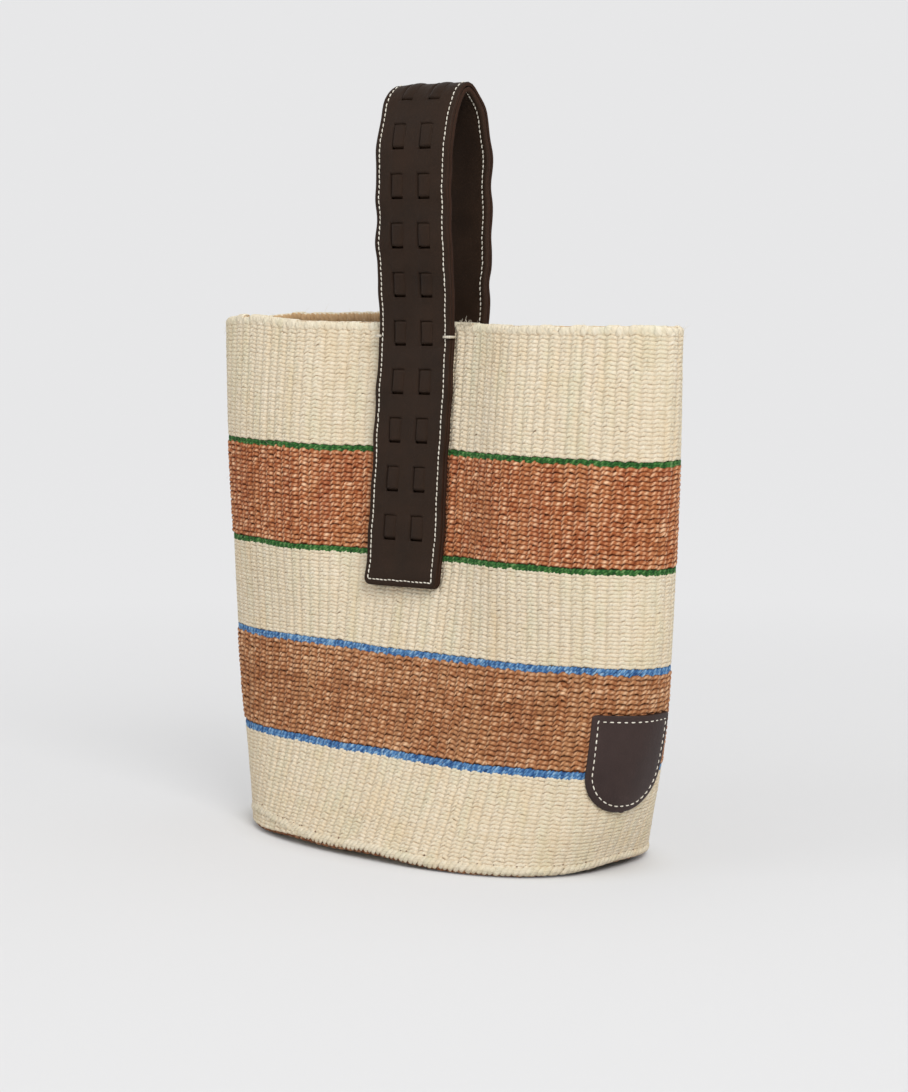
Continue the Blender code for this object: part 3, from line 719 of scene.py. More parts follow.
def rim_strands():
    """Edge bound with strands folded over the top, two on each rib, bare fibre on the inside."""
    count = 2 * RIBS
    path = np.array((
        (-4.9, 0.6), (-4.2, 0.20), (-3.2, 0.0), (-2.0, 0.0), (-1.0, 0.2), (-0.4, 0.8),
        (-0.1, 1.9), (-0.1, 2.6), (-0.4, 3.4), (-1.2, 3.9), (-2.8, 4.1), (-4.8, 4.1), (-6.2, 3.6),
    )) * MM
    stations = len(path)
    share = np.linspace(-1, 1, stations)
    first = np.arange(count) % 2 == 0
    rounds = (np.arange(count) + 0.5 + np.where(first, 0.06, -0.06)) / count
    rounds = rounds + bell(0.03, count) / count
    slant = 0.5 + bell(0.08, count) + bell(0.10, RIBS).repeat(2)
    rounds = rounds[:, None] + slant[:, None] * share[None, :] / count
    heights = RIM_HEIGHT + path[None, :, 0] * (1 + bell(0.04, count, 1))
    heights = heights + bell(0.00025, RIBS, 1).repeat(2, 0)
    depth = path[None, :, 1] + bell(0.00010, count, 1)
    depth = depth + np.where(first, 0.0, 0.00008)[:, None]
    point, along, _, normal = frame_on(wall, rounds, np.minimum(heights, RIM_HEIGHT))
    centres = point - normal * depth[..., None]
    centres[..., 2] += np.maximum(heights - RIM_HEIGHT, 0)
    ahead = np.gradient(centres, axis=1)
    outward = unit(np.cross(unit(ahead), along)) * -1
    sideways = unit(np.cross(outward, unit(ahead)))
    ends = 1 - 0.35 * np.abs(share) ** 6
    wide = np.where(first, 0.00235, 0.00225)[:, None] * ends[None, :]
    wide = wide * (1 + bell(0.05, count, 1))
    deep = np.full((count, 1), 0.00075) * ends[None, :]
    # Painted shade where the strands dive under the weave at both ends.
    crease_shade = np.broadcast_to(np.clip(np.abs(share) ** 8 * 0.8, 0, 1), (count, stations))
    return tubes("rim_binding_strands", centres, sideways, outward, wide, deep, 8,
                 ("natural", "tan"), RNG.normal(0.52, 0.05, count), crease_shade, 8)


rim = rim_strands()
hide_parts("rim_binding")
WOVEN.append(rim)


def edge_row():
    """Coarse slanted stitches where the base turns up."""
    count = 2 * RIBS
    share = np.linspace(-1, 1, 8)
    rounds = ((np.arange(count) + 0.5) / count)[:, None] + share[None, :] * 0.75 / count
    rounds = rounds + bell(0.08, count, 1) / count
    tall = 0.0027 * (1 + bell(0.10, count, 1))
    heights = 0.0042 + tall * share[None, :] + drift(rounds, 0.006)
    heights = heights + rises(rounds, SEAM_CLIMBS)
    point, _, _, normal = frame_on(wall, rounds, np.maximum(heights, 0.0006))
    out = 0.0011 * (1 - share**2) - 0.0005
    out = out[None, :] * (1 + bell(0.2, count, 1))
    centres = point + normal * np.broadcast_to(out, rounds.shape)[..., None]
    ahead = unit(np.gradient(centres, axis=1))
    sideways = unit(np.cross(normal, ahead)) * -1
    wide = 0.0017 * (1 - 0.30 * np.abs(share) ** 3)[None, :] * np.ones((count, 1))
    deep = 0.00070 * (1 - 0.4 * np.abs(share) ** 3)[None, :] * np.ones((count, 1))
    # Painted shade at the ends of each stitch, most at the lower end.
    crease_shade = (0.35 * np.abs(share)[None, :] ** 4 + 0.2 * (share[None, :] < -0.8)) * np.ones(
        (count, 1))
    outward = unit(np.cross(ahead, sideways))
    return tubes("base_edge_row_stitches", centres, sideways, outward, wide, deep, 6,
                 ("natural",), RNG.normal(0.52, 0.05, count), crease_shade)


edge = edge_row()
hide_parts("base_edge_row")
WOVEN.append(edge)


def base_weave():
    """Twined rings of the base: the turned-up corner, the underside and the inside."""
    heights, pitch = rows_between(0.0, 0.0042, 2)
    # Painted shade: the turned-up corner takes the dark brown yarn and strong darkening in its
    # folds, for the contact shadow under the base's edge.
    turned = twined("base_corner_stitches", corner_arc, *field(heights, 2 * RIBS), pitch,
                    ("brown",), {**PLAIN, "lift": 0.0003, "sink": 0.0008, "slant": 0.5,
                                 "uneven": 0.2, "ragged": 1.2, "crease_shading": (1.2, 1.6),
                                 "even": 1})
    rings, pitch = rows_between(0.0006, BASE_REACH - 0.0016, 33)
    rounds, rows, spacing = [], [], []
    for ring in rings:
        share = 1 - ring / BASE_REACH
        ribs = RIBS if share > 0.55 else RIBS // 2 if share > 0.25 else RIBS // 4
        rounds.append((np.arange(ribs) + 0.5) / ribs)
        rows.append(np.full(ribs, ring))
        spacing.append(np.full(ribs, 1 / ribs))
    rounds, rows, spacing = (np.concatenate(part) for part in (rounds, rows, spacing))
    flat = {**PLAIN, "lift": 0.0006, "sink": 0.0013, "slant": 0.3, "mesh": (5, 4), "per": 1}
    under = twined("base_underside_stitches", foot, rounds, rows, pitch, ("natural",), flat,
                   -BASE_LEVEL, spacing)
    above = twined("base_inside_stitches", foot, rounds, rows, pitch, ("tan",),
                   {**flat, "sink": 0.0, "mesh": (5, 3)}, None, spacing)
    above.location.z = INSIDE_DEPTH - 0.0008
    return [turned, under, above]


BASE = base_weave()
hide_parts("weft_base")
WOVEN += BASE


def holes():
    """Small dark spots along the base seam, painted shade where the weave has gaps."""
    count = RIBS
    rounds = (np.arange(count)[:, None] + bell(0.30, count, 1)) / count
    rounds = rounds + np.array((-1, 0, 1))[None, :] * 0.0010
    heights = 0.0068 + bell(0.0003, count, 1) + rises(rounds, SEAM_CLIMBS)
    point, _, up, normal = frame_on(wall, rounds, heights)
    centres = point + normal * 0.0002
    size = np.array((0.4, 1.0, 0.4))[None, :] * (0.0003 + 0.0005 * RNG.random((count, 1)))
    # Painted shade: brown spots at the lowest tone, darkened fully.
    return tubes("base_seam_shade_spots", centres, up, normal, size, size * 0.6, 6, ("brown",),
                 np.full(count, 0.0), np.ones((count, 3)))


WOVEN.append(holes())


def fibres(name, count, slots, low, high, length, stand, bias=None, thick=0.000055):
    """Loose fibres that stand out of the weave, but not under the strap or the patch."""
    stations = 6
    rounds = RNG.random(count)
    if bias:
        near = RNG.random(count) < bias[2]
        rounds = np.where(near, bias[0] + bell(bias[1], count), rounds) % 1
    heights = low + (high - low) * RNG.random(count)
    start = wall(rounds, heights)
    beside = np.abs(start[:, 0] - strap_centre(heights)) - STRAP_WIDTH / 2 - 0.6 * length
    patched = (np.abs((rounds - PATCH_MIDDLE + 0.5) % 1 - 0.5) < 0.042) & (
        np.abs(heights - PATCH_LOW - PATCH_HEIGHT / 2) < PATCH_HEIGHT / 2 + 0.005)
    clear = ((heights < STRAP_END_HEIGHT - 0.004) | (beside > 0)) & ~patched
    rounds, heights, count = rounds[clear], heights[clear], int(clear.sum())
    point, along, up, normal = frame_on(wall, rounds, heights)
    heading = along * RNG.normal(0, 1, (count, 1)) + up * RNG.normal(0.2, 0.8, (count, 1))
    heading = unit(heading) + normal * (stand * RNG.random((count, 1)))
    bend = unit(RNG.normal(0, 1, (count, 3)))
    reach = length * (0.35 + RNG.random((count, 1)) ** 2)
    share = np.linspace(0, 1, stations)[None, :, None]
    centres = point[:, None] + normal[:, None] * 0.0002 + heading[:, None] * (reach * share[0].T)[
        ..., None] + bend[:, None] * 0.35 * (reach[:, :, None] * share**2)
    ahead = unit(np.gradient(centres, axis=1))
    sideways = unit(np.cross(ahead, normal[:, None]))
    outward = unit(np.cross(sideways, ahead))
    thin = np.full((count, stations), thick) * (1 - 0.6 * share[0, :, 0])[None, :]
    return tubes(name, centres, sideways, outward, thin, thin, 3, slots,
                 RNG.normal(0.6, 0.1, count))


for kind, *settings in (
        ("natural", 1100, ("natural",), 0.004, 0.289, 0.0045, 0.35),
        ("rim", 500, ("natural",), 0.280, 0.2905, 0.0045, 0.7),
        ("strap", 220, ("natural",), 0.287, 0.2905, 0.0030, 0.3, (0.790, 0.005, 1), 0.00015),
        ("terracotta", 260, ("terracotta",), 0.165, 0.217, 0.005, 0.5),
        ("brown", 240, ("brown",), 0.057, 0.107, 0.005, 0.5)):
    WOVEN.append(fibres("loose_fibres_" + kind, *settings))

for piece in WOVEN:
    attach(piece, "basket")


# Strap

def seat_depth(height):
    """How far out the strap's back lies at a height."""
    angle = np.linspace(pi, 0, 721)
    x, y = plan(angle, np.full(len(angle), height))
    places = strap_centre(height) + STRAP_WIDTH * np.linspace(-0.5, 0.5, 15)
    return float(np.interp(places, x, y).max()) + 0.0003


def strap_route():
    """Distances along the strap's middle line and its points, from the front end to the back."""
    arch_foot = RIM_HEIGHT + LOOP_TOP - ARCH_HEIGHT
    arch_depth = LOOP_DEPTH / 2 - OUTER_HIGH
    arch_rise = ARCH_HEIGHT - OUTER_HIGH
    rim_depth = seat_depth(RIM_HEIGHT) + STRAP_LINING
    half = [(seat_depth(z) + STRAP_LINING, z) for z in np.linspace(STRAP_END_HEIGHT, RIM_FOOT, 12)]
    for share in (0.25, 0.4, 0.6, 0.8):
        opened = smooth_step(1.6 * share)
        half.append((rim_depth + (arch_depth - rim_depth) * opened,
                     RIM_HEIGHT + share * (arch_foot - RIM_HEIGHT)))
    for turn in np.linspace(0, pi / 2, 10):
        half.append((arch_depth * cos(turn), arch_foot + arch_rise * sin(turn)))
    front = [(strap_centre(z), -y, z) for y, z in half]
    back = [(strap_centre(z), y, z) for y, z in reversed(half[:-1])]
    points = np.array(front + back)
    ends = np.vstack((2 * points[0] - points[1], points, 2 * points[-1] - points[-2]))
    curve = []
    for a, b, c, d in zip(ends, ends[1:], ends[2:], ends[3:]):
        for t in np.arange(24) / 24:
            curve.append((2 * b + (c - a) * t + (2 * a - 5 * b + 4 * c - d) * t**2
                          + (3 * b - a - 3 * c + d) * t**3) / 2)
    curve = np.array(curve + [points[-1]])
    return distances(curve), curve


ROUTE_AT, ROUTE = strap_route()
LENGTH = float(ROUTE_AT[-1])


def on_route(distance):
    """Points at distances along the strap's middle line, carried on straight past its ends."""
    inside = np.clip(distance, 0, LENGTH)
    point = np.stack([np.interp(inside, ROUTE_AT, ROUTE[:, k]) for k in range(3)], -1)
    first = unit(ROUTE[1] - ROUTE[0])
    last = unit(ROUTE[-1] - ROUTE[-2])
    past = np.asarray(distance - inside)[..., None]
    return point + np.where(past < 0, first, last) * past


def route_frame(distance):
    """Place, direction, width direction and outward direction along the strap."""
    step = 0.0015
    along = unit(on_route(distance + step) - on_route(distance - step))
    across = unit(along * along[..., :1] - np.array((1.0, 0, 0)))
    return on_route(distance), along, across, unit(np.cross(along, across))


def ripple(distance, across):
    """How the sewn edges wander between the laces' stretches, sideways and outwards."""
    turn = 2 * pi * (distance - PLAIN_END) / LACE_PITCH
    side = np.abs(across) / (STRAP_WIDTH / 2)
    sideways = 0.00026 * np.sin(turn + 0.4) + 0.00026 * np.sin(0.37 * turn + 1.1)
    free = smooth_step((distance - 0.15) / 0.03) * smooth_step((LENGTH - 0.15 - distance) / 0.03)
    uneven = 0.55 + 0.45 * np.sin(0.43 * turn + 2.0 + np.sign(across))
    outwards = (0.0002 + 0.00055 * free * uneven) * side**3 * np.sin(
        turn + 0.9 + 0.8 * np.sign(across) + 0.6 * np.sin(0.29 * turn))
    return sideways * side**2 * np.sign(across), outwards


def strap_point(distance, across, out):
    """World points from distance along, across and out of the strap."""
    distance, across, out = np.broadcast_arrays(distance, across, out)
    place, _, sideways, outward = route_frame(distance)
    aside, lifted = ripple(distance, across)
    return place + sideways * (across + aside)[..., None] + outward * (out + lifted)[..., None]


def lace_stretches():
    """Start and end of each stretch of lace on top of the outer leather."""
    crown = LENGTH / 2 - PLAIN_END - LACE_OVER / 2
    starts = PLAIN_END + LACE_PITCH * np.arange(int(crown / LACE_PITCH) + 1)
    front = [(start, start + LACE_OVER) for start in starts[:-1]]
    back = [(LENGTH - end, LENGTH - start) for start, end in reversed(front)]
    return np.array([*front, (starts[-1], LENGTH - starts[-1]), *back])


STRETCHES = lace_stretches()
LANES = (LACE_SPACING / 2, -LACE_SPACING / 2)


def over_share(distance):
    """1 where the laces lie on top, 0 where they pass underneath.

    At the upper end of each stretch the lace fills its slot and dives at the last moment.
    """
    total = np.zeros(np.shape(distance))
    for start, end in STRETCHES:
        low, high = start <= LENGTH / 2, end >= LENGTH / 2
        first, last = (0.0004, 0.0026) if low else (0.0010, 0.0014), (
            0.0004, 0.0026) if high else (0.0010, 0.0014)
        total += smooth_step((distance - start + first[0]) / first[1]) * smooth_step(
            (end + last[0] - distance) / last[1])
    return total


def half_width_at(distance):
    """Half the strap's width, less at its rounded end corners."""
    from_end = np.minimum(distance, LENGTH - distance)
    short = np.clip(STRAP_CORNER - from_end, 0, STRAP_CORNER)
    return STRAP_WIDTH / 2 - (STRAP_CORNER - np.sqrt(STRAP_CORNER**2 - short**2))


def squeezed(distance, across):
    """Across places drawn in at the rounded end corners."""
    straight = STRAP_WIDTH / 2 - STRAP_CORNER
    share = np.clip((np.abs(across) - straight) / STRAP_CORNER, 0, 1)
    edge = half_width_at(distance)
    return np.sign(across) * np.where(
        np.abs(across) > straight, straight + share * (edge - straight), np.abs(across))


def plate(name, lines, crosses, hole, top, bottom, slots):
    """A leather layer over a grid of lines along and across, with cells left out as holes."""
    s, w = np.meshgrid(lines, crosses, indexing="ij")
    cell_s = (s[:-1, :-1] + s[1:, 1:]) / 2
    cell_w = (w[:-1, :-1] + w[1:, 1:]) / 2
    present = ~hole(cell_s, cell_w)
    squeezed_w = squeezed(s, w)
    upper = strap_point(s, squeezed_w, top(s, squeezed_w))
    lower = strap_point(s, squeezed_w, bottom(s, squeezed_w))
    return close_plate(name, upper, lower, present, slots)


def close_plate(name, upper, lower, present, slots):
    """Top, bottom and sides of a plate from its two grids of points."""
    rows, columns = upper.shape[:2]
    index = np.arange(rows * columns).reshape(rows, columns)
    below = index + rows * columns
    i, j = np.nonzero(present)
    faces = [np.stack((index[i, j], index[i + 1, j], index[i + 1, j + 1], index[i, j + 1]), 1),
             np.stack((below[i, j], below[i, j + 1], below[i + 1, j + 1], below[i + 1, j]), 1)]
    kinds = [np.zeros(len(i)), np.zeros(len(i))]
    padded = np.pad(present, 1)
    for di, dj, first, second in (
        (0, -1, (0, 0), (1, 0)), (0, 1, (1, 1), (0, 1)),
        (-1, 0, (0, 1), (0, 0)), (1, 0, (1, 0), (1, 1)),
    ):
        bare = present & ~padded[1 + di:rows + di, 1 + dj:columns + dj]
        i, j = np.nonzero(bare)
        one = (i + first[0], j + first[1])
        two = (i + second[0], j + second[1])
        faces.append(np.stack((index[one], below[one], below[two], index[two]), 1))
        rim_side = ((i + di < 0) | (i + di >= rows - 1) | (j + dj < 0) | (j + dj >= columns - 1))
        kinds.append(rim_side.astype(float))
    points = np.concatenate((upper.reshape(-1, 3), lower.reshape(-1, 3)))
    faces = np.concatenate(faces)
    used = np.unique(faces)
    renumber = np.zeros(len(points), int)
    renumber[used] = np.arange(len(used))
    return make(name, points[used], [renumber[faces]], slots, indices=kinds)


def thinned(values, least):
    """Sorted values with no two closer than a step."""
    kept = []
    for value in sorted(values):
        if not kept or value - kept[-1] > least:
            kept.append(value)
    return np.array(kept)


EDGE_STEPS = (0.0, 0.00015, 0.0005, 0.0012, 0.0022)


def strap_lines():
    """Grid lines along the strap, close at its slots and ends."""
    lines = list(EDGE_STEPS) + [LENGTH - step for step in EDGE_STEPS]
    lines += [STITCH_INSET, STITCH_INSET + 0.0007, LENGTH - STITCH_INSET,
              LENGTH - STITCH_INSET - 0.0007]
    for start, end in STRETCHES:
        for edge in (start, end - SLOT):
            lines += [edge - 0.0007, edge - 0.0002, edge, edge + SLOT_THIN,
                      edge + SLOT - SLOT_THIN, edge + SLOT, edge + SLOT + 0.0002,
                      edge + SLOT + 0.0007]
        lines += list(np.linspace(start + SLOT + 0.0015, end - SLOT - 0.0015, ceil(
            (end - start) / 0.003)))
    for before, after in zip(STRETCHES[:-1, 1], STRETCHES[1:, 0]):
        lines += list(np.linspace(before + 0.0016, after - 0.0016, 5))
    lines += list(np.linspace(0.006, PLAIN_END - 0.0015, 7))
    lines += list(LENGTH - np.linspace(0.006, PLAIN_END - 0.0015, 7))
    return thinned(lines, 0.0001)


def strap_crosses():
    """Grid lines across the strap, close at its edges, stitch lines and lanes."""
    half = STRAP_WIDTH / 2
    places = [0.0, 0.0025]
    places += [half - step for step in EDGE_STEPS]
    places += [half - STITCH_INSET + step for step in (-0.0007, 0, 0.0007)]
    lane, reach = LACE_SPACING / 2, SLOT_REACH
    for side in (-1, 1):
        places += [lane + side * (reach + step) for step in (0, 0.0002, 0.0007, 0.0014)]
        places += [lane + side * (DENT_SIDE + step) for step in (0, 0.00015)]
        places += [lane + side * reach * share for share in (0.4, 0.75, 0.93)]
    places += [lane, 0.0175, 0.0195]
    places = thinned(places, 0.0001)
    return np.concatenate((-places[::-1], places[1:]))


def slot_hole(distance, across):
    """Cells of the outer leather that are slots: those above a stretch are pulled thin."""
    near = np.zeros(distance.shape, bool)
    for start, end in STRETCHES:
        first, last = (SLOT, SLOT_THIN) if end < LENGTH / 2 else (
            SLOT_THIN, SLOT) if start > LENGTH / 2 else (SLOT, SLOT)
        near |= (distance > start) & (distance < start + first)
        near |= (distance > end - last) & (distance < end)
    lane = np.abs(np.abs(across) - LACE_SPACING / 2) < SLOT_REACH
    return near & lane


def edge_drop(distance, across, size):
    """How far a rounded outer edge falls away."""
    sideways = half_width_at(distance) - np.abs(across)
    lengthways = np.minimum(distance, LENGTH - distance)
    near = np.clip(1 - np.minimum(sideways, lengthways) / size, 0, 1)
    return near**2.2


def stitch_groove(distance, across):
    """The shallow line that the stitching lies in."""
    side = np.abs(np.abs(across) - (STRAP_WIDTH / 2 - STITCH_INSET))
    end = np.abs(np.minimum(distance, LENGTH - distance) - STITCH_INSET)
    inside = np.minimum(distance, LENGTH - distance) > STITCH_INSET - 0.0004
    side = np.where(inside, side, 1.0)
    end = np.where(np.abs(across) < STRAP_WIDTH / 2 - STITCH_INSET + 0.0003, end, 1.0)
    return np.exp(-((np.minimum(side, end) / 0.0007) ** 2))


def outer_top(distance, across):
    """Face of the outer leather: pressed in under the laces and drawn down by its stitches.

    Each lace lies in a dent with a lip along one side, where it has pulled away.
    """
    beside = np.where(across > 0, across - LACE_SPACING / 2, across + LACE_SPACING / 2)
    lane = np.abs(beside)
    over = over_share(distance)
    laced = smooth_step((distance - PLAIN_END + LACE_TAIL) / 0.003) * smooth_step(
        (LENGTH - PLAIN_END + LACE_TAIL - distance) / 0.003)
    buried = (1 - over) * laced * smooth_step((LACE_WIDTH / 2 + 0.003 - lane) / 0.005)
    dent = over * (beside < DENT_SIDE + 0.00002) * smooth_step((beside + 0.0044) / 0.0012)
    lip = over * np.exp(-(((beside - DENT_SIDE - 0.0007) / 0.0008) ** 2))
    height = OUTER_HIGH + 0.0002 * buried - 0.0012 * dent + 0.00040 * lip
    height = height - 0.00030 * stitch_groove(distance, across)
    height = height + 0.00012 * np.sin(310 * distance + 40 * across) * np.sin(170 * distance)
    pucker = np.zeros(distance.shape)
    for start, end in STRETCHES:
        for edge in (start, end):
            pucker += np.exp(-(((distance - edge) / 0.0016) ** 2))
    height = height + 0.00022 * pucker * smooth_step((LACE_WIDTH / 2 + 0.0008 - lane) / 0.001)
    return height - 0.00075 * edge_drop(distance, across, 0.0012)


def outer_bottom(distance, across):
    """Back of the outer leather."""
    return OUTER_LOW * 0.3 + 0.0002 * edge_drop(distance, across, 0.001)


def lining_top(distance, across):
    """Face of the lining against the outer leather."""
    return -0.00002 - 0.00025 * edge_drop(distance, across, 0.001)


def lining_bottom(distance, across):
    """Inner face of the lining."""
    height = -STRAP_LINING + 0.00012 * np.sin(260 * distance - 60 * across)
    height = height + 0.00022 * stitch_groove(distance, across)
    return height + 0.0008 * edge_drop(distance, across, 0.0012)


def no_hole(distance, across):
    """A plate with no cells left out."""
    return np.zeros(distance.shape, bool)


LINES, CROSSES = strap_lines(), strap_crosses()
STRAP = {
    "outer": plate("strap_outer_leather", LINES, CROSSES, slot_hole, outer_top, outer_bottom,
                   ("leather", "edge")),
    "lining": plate("strap_lining_leather", LINES[::2], CROSSES, no_hole, lining_top,
                    lining_bottom, ("lining", "edge")),
}


def lace(side, lane):
    """One flat lace, woven in and out of its slots from end to end."""
    low, high = PLAIN_END - LACE_TAIL, LENGTH - PLAIN_END + LACE_TAIL
    distance = np.linspace(low, high, ceil((high - low) / 0.0007))
    over = over_share(distance)
    level = -LACE_THICKNESS + 0.0001 + over * (OUTER_HIGH + LACE_THICKNESS - 0.00085)
    profile = np.array((
        (-1.0, 0.45), (-0.97, 0.72), (-0.90, 0.90), (-0.55, 1.04), (0.0, 1.10), (0.55, 1.04),
        (0.90, 0.90), (0.97, 0.72), (1.0, 0.45), (0.92, 0.05), (-0.92, 0.05),
    ))
    width = LACE_WIDTH / 2 * (1 + 0.02 * np.sin(410 * distance + lane * 900))
    wander = 0.00018 * np.sin(2 * pi * distance / LACE_PITCH * 0.5 + lane * 300)
    across = lane - 0.0004 + wander[:, None] - width[:, None] * profile[None, :, 0]
    crown = over[:, None] * (0.00025 * (1 - profile[None, :, 0] ** 2)
                             - 0.00012 * profile[None, :, 0])
    out = level[:, None] + profile[None, :, 1] * LACE_THICKNESS + crown
    points = strap_point(distance[:, None], across, out)
    return make(f"lace_{side}_leather", points[None],
                tube_faces(1, len(distance), len(profile)), ("leather",))


for side, lane in zip(("left", "right"), LANES):
    STRAP["lace_" + side] = lace(side, lane)


def pills(name, centres, ahead, outward, half_length, half_width, half_depth, dip, slots):
    """Short stitches of thread that dive into their holes at both ends."""
    t = np.array((-1.0, -0.86, -0.5, 0.0, 0.5, 0.86, 1.0))
    size = np.array((0.30, 0.78, 1.0, 1.05, 1.0, 0.78, 0.30))
    count = len(centres)
    length = half_length * (1 + bell(0.06, count, 1))
    path = centres[:, None] + ahead[:, None] * (length * t[None, :])[..., None]
    path = path - outward[:, None] * (dip * t**2)[None, :, None]
    sideways = unit(np.cross(outward, ahead))
    frames = (np.repeat(part[:, None], len(t), 1) for part in (-sideways, outward))
    scale = 1 + bell(0.06, count, 1)
    wide, deep = (half * size[None, :] * scale for half in (half_width, half_depth))
    # Painted shade at the stitch ends, where the thread dives into its holes.
    crease_shade = np.repeat((np.abs(t) ** 4 * 0.6)[None, :], count, 0)
    return tubes(name, path, *frames, wide, deep, 8, slots, RNG.normal(0.5, 0.08, count), crease_shade)


def strap_stitching():
    """Saddle stitches along both edges and both ends, on the face and on the lining."""
    half = STRAP_WIDTH / 2 - STITCH_INSET
    count = round((LENGTH - 2 * STITCH_INSET) / STITCH_PITCH)
    pitch = (LENGTH - 2 * STITCH_INSET) / count
    down = STITCH_INSET + pitch * (np.arange(count) + 0.5)
    ends = round(2 * half / STITCH_PITCH)
    over = -half + 2 * half / ends * (np.arange(ends) + 0.5)
    places = [(s, w, 0) for w in (half, -half) for s in down]
    places += [(s, w, 1) for s in (STITCH_INSET, LENGTH - STITCH_INSET) for w in over]
    distance, across, turned = np.array(places).T
    distance = distance + bell(0.00008, len(distance))
    across = across + bell(0.00008, len(distance))
    _, along, sideways, outward = route_frame(distance)
    ahead = np.where(turned[:, None] > 0, sideways, along)
    beside = np.where(turned[:, None] > 0, along, sideways)
    ahead = unit(ahead + beside * (0.10 + bell(0.03, len(distance), 1)))
    face = strap_point(distance, across, outer_top(distance, across) + 0.00022)
    back = strap_point(distance, across, lining_bottom(distance, across) - 0.00016)
    return pills(
        "strap_stitching", np.concatenate((face, back)), np.concatenate((ahead, ahead)),
        np.concatenate((outward, -outward)), *STRAP_STITCH, ("thread",))


STRAP["stitching"] = strap_stitching()

for key, stretches in (("outer", "_outer"), ("lining", "_lining"), ("lace_left", "_lace_left"),
                       ("lace_right", "_lace_right")):
    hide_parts(*(part + stretches for part in (
        "strap_front", "bend_front", "handle", "bend_back", "strap_back")))
for piece in STRAP.values():
    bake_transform(piece)


# Patch

def patch_round(height):
    """Share of the way round at each distance towards the front from the +X end, as a table."""
    shares = np.linspace(0.25, -0.25, 1201)
    points = wall(shares, np.full(len(shares), height))
    travelled = distances(points)
    return travelled - np.interp(0, -shares, travelled), shares


PATCH_TABLES = {}


def patch_point(across, height, out):
    """World points from across, height and out of the patch."""
    points = np.zeros((*across.shape, 3))
    for key in np.unique(np.round(height, 5)):
        if key not in PATCH_TABLES:
            PATCH_TABLES[key] = patch_round(key)
        here = np.round(height, 5) == key
        share = np.interp(PATCH_FROM_END - across[here], *PATCH_TABLES[key])
        point, _, _, normal = frame_on(wall, share, height[here])
        points[here] = point + normal * (0.0006 + out[here])[:, None]
    return points


def patch_half(height):
    """Half the patch's width at a height above its foot."""
    low = np.clip(PATCH_ROUND - height, 0, PATCH_ROUND)
    high = np.clip(height - (PATCH_HEIGHT - PATCH_CORNER), 0, PATCH_CORNER)
    half = PATCH_WIDTH / 2 - (PATCH_ROUND - np.sqrt(PATCH_ROUND**2 - low**2))
    return half - (PATCH_CORNER - np.sqrt(PATCH_CORNER**2 - high**2))


def patch_outline(inset, count=400):
    """Points round the patch at an inset from its edge, as (across, height above its foot)."""
    height = PATCH_HEIGHT * (1 - np.cos(np.linspace(0, pi, count))) / 2
    half = patch_half(height)
    loop = np.concatenate((np.stack((half, height), 1), np.stack((-half, height), 1)[::-1]))
    if not inset:
        return loop
    ahead = unit(np.roll(loop, -3, 0) - np.roll(loop, 3, 0))
    inner = loop + np.stack((-ahead[:, 1], ahead[:, 0]), 1) * inset
    keep = [p for p in inner if np.min(np.linalg.norm(loop - p, axis=1)) > inset * 0.985]
    return np.array(keep)


def patch_piece():
    """The D-shaped leather patch, with rounded edges and a groove for its stitches."""
    u = np.concatenate((np.linspace(-1, -0.86, 8), np.linspace(-0.8, 0.8, 21),
                        np.linspace(0.86, 1, 8)))
    v = np.concatenate(((1 - np.cos(np.linspace(0, pi / 2, 26))) * 0.5,
                        np.linspace(0.53, 0.90, 12), np.linspace(0.92, 1, 9)))
    v[0] = 0.0006
    height, share = np.meshgrid(v * PATCH_HEIGHT, u, indexing="ij")
    across = share * patch_half(height)
    edge_line = patch_outline(0.0)
    inset_line = patch_outline(PATCH_INSET)
    flat = np.stack((across.ravel(), height.ravel()), 1)
    edge = np.min(np.linalg.norm(flat[:, None] - edge_line[None], axis=2), 1)
    line = np.min(np.linalg.norm(flat[:, None] - inset_line[None], axis=2), 1)
    edge, line = edge.reshape(across.shape), line.reshape(across.shape)
    rounded = np.clip(1 - edge / 0.0016, 0, 1) ** 2
    top = PATCH_THICKNESS - 0.0011 * rounded - 0.00028 * np.exp(-((line / 0.0008) ** 2))
    top = top + 0.00035 * np.clip(1 - ((across / 0.012) ** 2 + ((height - 0.028) / 0.014) ** 2),
                                  0, 1) ** 2
    upper = patch_point(across, height + PATCH_LOW, top)
    lower = patch_point(across, height + PATCH_LOW, np.full(across.shape, -0.0005))
    present = np.ones((len(v) - 1, len(u) - 1), bool)
    # Rows run up and columns run towards +X, so the grid is turned over to face outwards
    return close_plate("patch_leather_face", upper[:, ::-1], lower[:, ::-1], present,
                       ("patch", "edge")), inset_line


def patch_stitches(line):
    """Stitches all round the patch."""
    order = line[np.argsort(np.arctan2(line[:, 1] - PATCH_HEIGHT / 2, line[:, 0]))]
    closed = np.vstack((order, order[:1]))
    travelled = distances(closed)
    count = round(travelled[-1] / PATCH_PITCH)
    where = travelled[-1] * (np.arange(count) + 0.5) / count

    def at(distance, out):
        distance = distance % travelled[-1]
        across = np.interp(distance, travelled, closed[:, 0])
        height = np.interp(distance, travelled, closed[:, 1])
        return patch_point(across, height + PATCH_LOW, np.full(count, out))

    centre = at(where, PATCH_THICKNESS - 0.00002)
    ahead = unit(at(where + 0.0004, 0) - at(where - 0.0004, 0))
    outward = unit(centre - at(where, 0))
    return pills("patch_stitching", centre, ahead, outward, *PATCH_STITCH, ("thread",))


PATCH, PATCH_LINE = patch_piece()
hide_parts("leather_patch")
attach(PATCH, "basket")
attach(patch_stitches(PATCH_LINE), "basket")


